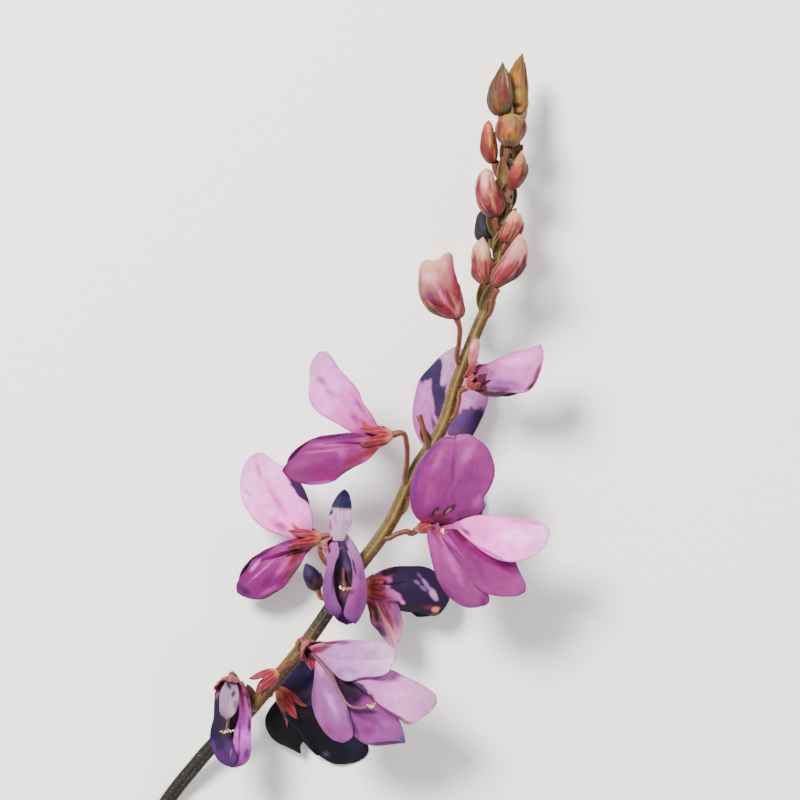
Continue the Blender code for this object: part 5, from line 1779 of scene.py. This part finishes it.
bud(
    9, 0.1, 0.8, 0.85, ("#826E2C", "#864829", "#6D5028", "#7C4328", "#64251E"),
    left=[(18.75, 35), (18, 35.75), (17.6, 36.75), (17.6, 37.75), (18.1, 38.6), (19.5, 39.1)],
    right=[(19.9, 35), (20.75, 35.9), (21.25, 36.9), (21.2, 37.9), (20.75, 38.6), (19.5, 39.1)],
    marks=[
        (17.9, 36.25, 1.25, 0.25, -70, "#4B1110", 0.6), (21, 37.4, 1.25, 0.25, 80, "#5F1E1A", 0.6),
        (19.25, 37, 0.5, 0.4, 0, "#B36A23", 0.7), (18, 37.1, 1.4, 0.3, 80, "#591714", 0.6),
        (18.9, 37.4, 1, 0.45, 75, "#995729", 0.8), (19.5, 37.9, 0.5, 0.4, 0, "#704E53", 0.8),
        (20.75, 36.9, 0.6, 0.3, 80, "#712823", 0.7), (19.9, 36.25, 0.6, 0.5, 60, "#75591C", 0.8),
        (19, 35.5, 1, 0.3, 0, "#3F3F23", 0.7), (20.4, 37.9, 0.75, 0.4, 60, "#665922", 0.8),
    ],
)
bud(
    10, 1.0, 0.85, 0.8, ("#41431E", "#5A3D22", "#493E1E", "#54331E", "#57191E"),
    left=[
        (17.6, 38.9), (17, 39.5), (16.6, 40.6), (16.7, 41.9), (17, 43), (17.6, 44.1), (18.1, 45),
        (18.45, 45.7),
    ],
    right=[
        (18.75, 39), (19.4, 40.1), (19.55, 41.4), (19.4, 42.75), (19.1, 44), (18.8, 44.9), (18.45, 45.7),
    ],
    marks=[
        (16.9, 41.4, 2.5, 0.2, 80, "#2E1E10", 0.6), (18.6, 41.5, 0.75, 0.5, -50, "#58121A", 0.5),
        (17.9, 41.9, 2.75, 0.15, 80, "#412415", 0.6), (17.25, 41.9, 2.25, 0.4, 75, "#432E1C", 0.6),
        (17.75, 40.25, 1, 0.4, -70, "#643C1B", 0.7), (18.6, 41.5, 0.75, 0.55, -50, "#5F171E", 0.5),
        (18.95, 43.4, 1.5, 0.2, -80, "#9F7A52", 0.6), (18.4, 43.75, 1.1, 0.2, 85, "#6C3A35", 0.7),
        (17.6, 42.9, 1.1, 0.2, 70, "#642C1C", 0.7), (18.75, 39.9, 0.6, 0.4, 0, "#494C2B", 0.7),
    ],
)
bud(
    11, 1.0, 0.85, 0.8, ("#665124", "#885A1B", "#545D24", "#7E591F", "#6B361D"),
    left=[
        (19.75, 39.25), (19.25, 40.25), (19.1, 41.5), (19.05, 42.75), (19.1, 44), (19.5, 44.9),
        (20.1, 45.9), (21.05, 47),
    ],
    right=[
        (20.9, 39.1), (21.6, 40.25), (21.55, 41.5), (21.6, 42.75), (21.45, 44), (21.3, 45.4), (21.05, 47),
    ],
    marks=[
        (21.4, 43.4, 3.25, 0.15, 88, "#402F16", 0.6), (19.9, 42.4, 0.75, 0.15, 12, "#2E2510", 0.5),
        (19.9, 43.9, 0.9, 0.5, 65, "#925A0C", 0.8), (20.4, 45.25, 1, 0.25, 58, "#6F401D", 0.7),
        (20.9, 43.6, 1.25, 0.25, -85, "#83472A", 0.7), (20.6, 41.9, 0.75, 0.4, 0, "#856914", 0.8),
        (19.75, 42.6, 0.5, 0.15, 15, "#372E15", 0.6), (19.6, 41.6, 0.9, 0.4, 80, "#546128", 0.7),
        (20.25, 40.3, 0.6, 0.3, 10, "#25150B", 0.5), (20.6, 39.6, 0.6, 0.3, 20, "#A96A4A", 0.7),
        (21.4, 45.6, 1.25, 0.15, -78, "#372E17", 0.6),
    ],
)
bud(12, 0.2, 0.6, 0.85, RED_BUD)
bud(13, 0.2, 0.6, 0.85, RED_BUD)
bud(14, 0.5, 0.8, 0.85, GREEN_BUD)
# Bud 15 lies in shadow beside flower 5 and is painted near black: painted shadow.
bud(15, 0.2, 0.5, 0.85, ("#25143A", "#1B0C2C", "#250F19", "#381319", "#1B0C0F"))

# The down. Fine white hairs, a third of a millimetre long, that stand on the stem, the
# pedicels and the calyces. Each is a three-sided cone, drawn twice as thick as a real one.

HAIR_RADIUS = 0.022
STEM_HAIRS = 5200
STEM_HAIR = 0.34
CALYX_HAIRS = 220
CALYX_HAIR = 0.3

# Hair: translucent, so light passes through it, and dull straw against the rind.
down_skin, tree, shader = started("plant hair, translucent", 0.5, glow=0.3, gloss=0.3)
spot = add(tree, "TexCoord")
grain = add(tree, "TexNoise", {"Vector": spot.outputs["Object"], "Scale": 900})
shade = add(
    tree,
    "Mix",
    {0: grain.outputs["Fac"], 6: (*linear("#67573C"), 1), 7: (*linear("#998750"), 1)},
    data_type="RGBA",
)
tree.links.new(shade.outputs[2], shader.inputs["Base Color"])


def down_on(name, hosts, node, count, length):
    """A coat of hairs on the pieces, spread evenly over their faces."""
    rng = random.Random(7)
    coat = bmesh.new()
    faces = []
    for host in hosts:
        for face in host.data.polygons:
            faces.append((face.center.copy(), face.normal.copy(), face.area))
    for centre, normal, _area in rng.choices(faces, [area for *_, area in faces], k=count):
        jitter = Vector((rng.uniform(-1, 1), rng.uniform(-1, 1), rng.uniform(-1, 1)))
        way = (normal + jitter * 0.6).normalized()
        long = length * rng.uniform(0.6, 1.2)
        at = centre / MM + SPRAY_MIDDLE + jitter * 0.05 + way * (long / 2 - 0.03)
        turned = Matrix.Translation(at) @ way.to_track_quat("Z", "Y").to_matrix().to_4x4()
        bmesh.ops.create_cone(
            coat, segments=3, radius1=HAIR_RADIUS, radius2=0, depth=long, matrix=turned
        )
    bmesh.ops.remove_doubles(coat, verts=coat.verts, dist=TOUCHING)
    finished(name, coat, down_skin, node)


made = bpy.data.objects
stalks_and_stem = [made["rachis_stem"], made["pedicels"], made["bracts"]]
down_on("stem_down", stalks_and_stem, ["rachis"], STEM_HAIRS, STEM_HAIR)
for number in HEADS:
    node = f"flower_{number:02d}_calyx"
    down_on(node + "_down", [made[node + "_sepals"]], [node], CALYX_HAIRS, CALYX_HAIR)

# The floor, the lights and the camera. The spray lies on a plain pale sheet under a soft key
# light from the upper left of the picture, and the camera looks straight down on it.

FLOOR_HALF = 1.5
floor_mesh = bpy.data.meshes.new("floor")
bm = bmesh.new()
bmesh.ops.create_grid(bm, x_segments=1, y_segments=1, size=FLOOR_HALF)
bm.to_mesh(floor_mesh)
bm.free()
floor = bpy.data.objects.new("floor", floor_mesh)
bpy.context.scene.collection.objects.link(floor)
# Card: matt and nearly white, with a faint fibre, so that it takes only soft shadows.
card, tree, shader = started("white card, matt", 0.9)
spot = add(tree, "TexCoord")
fibre = add(tree, "TexNoise", {"Vector": spot.outputs["Object"], "Scale": 1500, "Detail": 3})
shade = add(
    tree,
    "Mix",
    {0: fibre.outputs["Fac"], 6: (*linear("#F4F3F1"), 1), 7: (*linear("#FBFAF8"), 1)},
    data_type="RGBA",
)
tree.links.new(shade.outputs[2], shader.inputs["Base Color"])
floor_mesh.materials.append(card)

sky = bpy.data.worlds.new("room")
bpy.context.scene.world = sky
sky.use_nodes = True
sky.node_tree.nodes["Background"].inputs["Color"].default_value = (1, 0.98, 0.96, 1)
sky.node_tree.nodes["Background"].inputs["Strength"].default_value = 0.9

LAMPS = [
    ("key", (-0.26, 0.28, 0.58), 0.22, 12.0, (1.0, 0.98, 0.95)),
    ("fill", (0.45, -0.25, 0.45), 0.5, 1.2, (0.95, 0.97, 1.0)),
]
for name, place, size, power, colour in LAMPS:
    lamp = bpy.data.lights.new(name, "AREA")
    lamp.shape = "DISK"
    lamp.size = size
    lamp.energy = power
    lamp.color = colour
    holder = bpy.data.objects.new(name, lamp)
    holder.location = place
    holder.rotation_euler = (-Vector(place)).to_track_quat("-Z", "Y").to_euler()
    bpy.context.scene.collection.objects.link(holder)

# The picture is 100 mm across at the height of the flowers, from a lens as long as a close
# portrait of a flower would use.
LENS = 200
SENSOR = 36
PICTURE_WIDTH = 0.1
PICTURE_MIDDLE = Vector((5.625, 3.375, 10.0))
lens = bpy.data.cameras.new("camera")
lens.lens = LENS
lens.sensor_width = SENSOR
camera = bpy.data.objects.new("camera", lens)
away = Vector((0, 0, PICTURE_WIDTH * LENS / SENSOR))
camera.location = (PICTURE_MIDDLE - SPRAY_MIDDLE) * MM + away
bpy.context.scene.collection.objects.link(camera)
bpy.context.scene.camera = camera
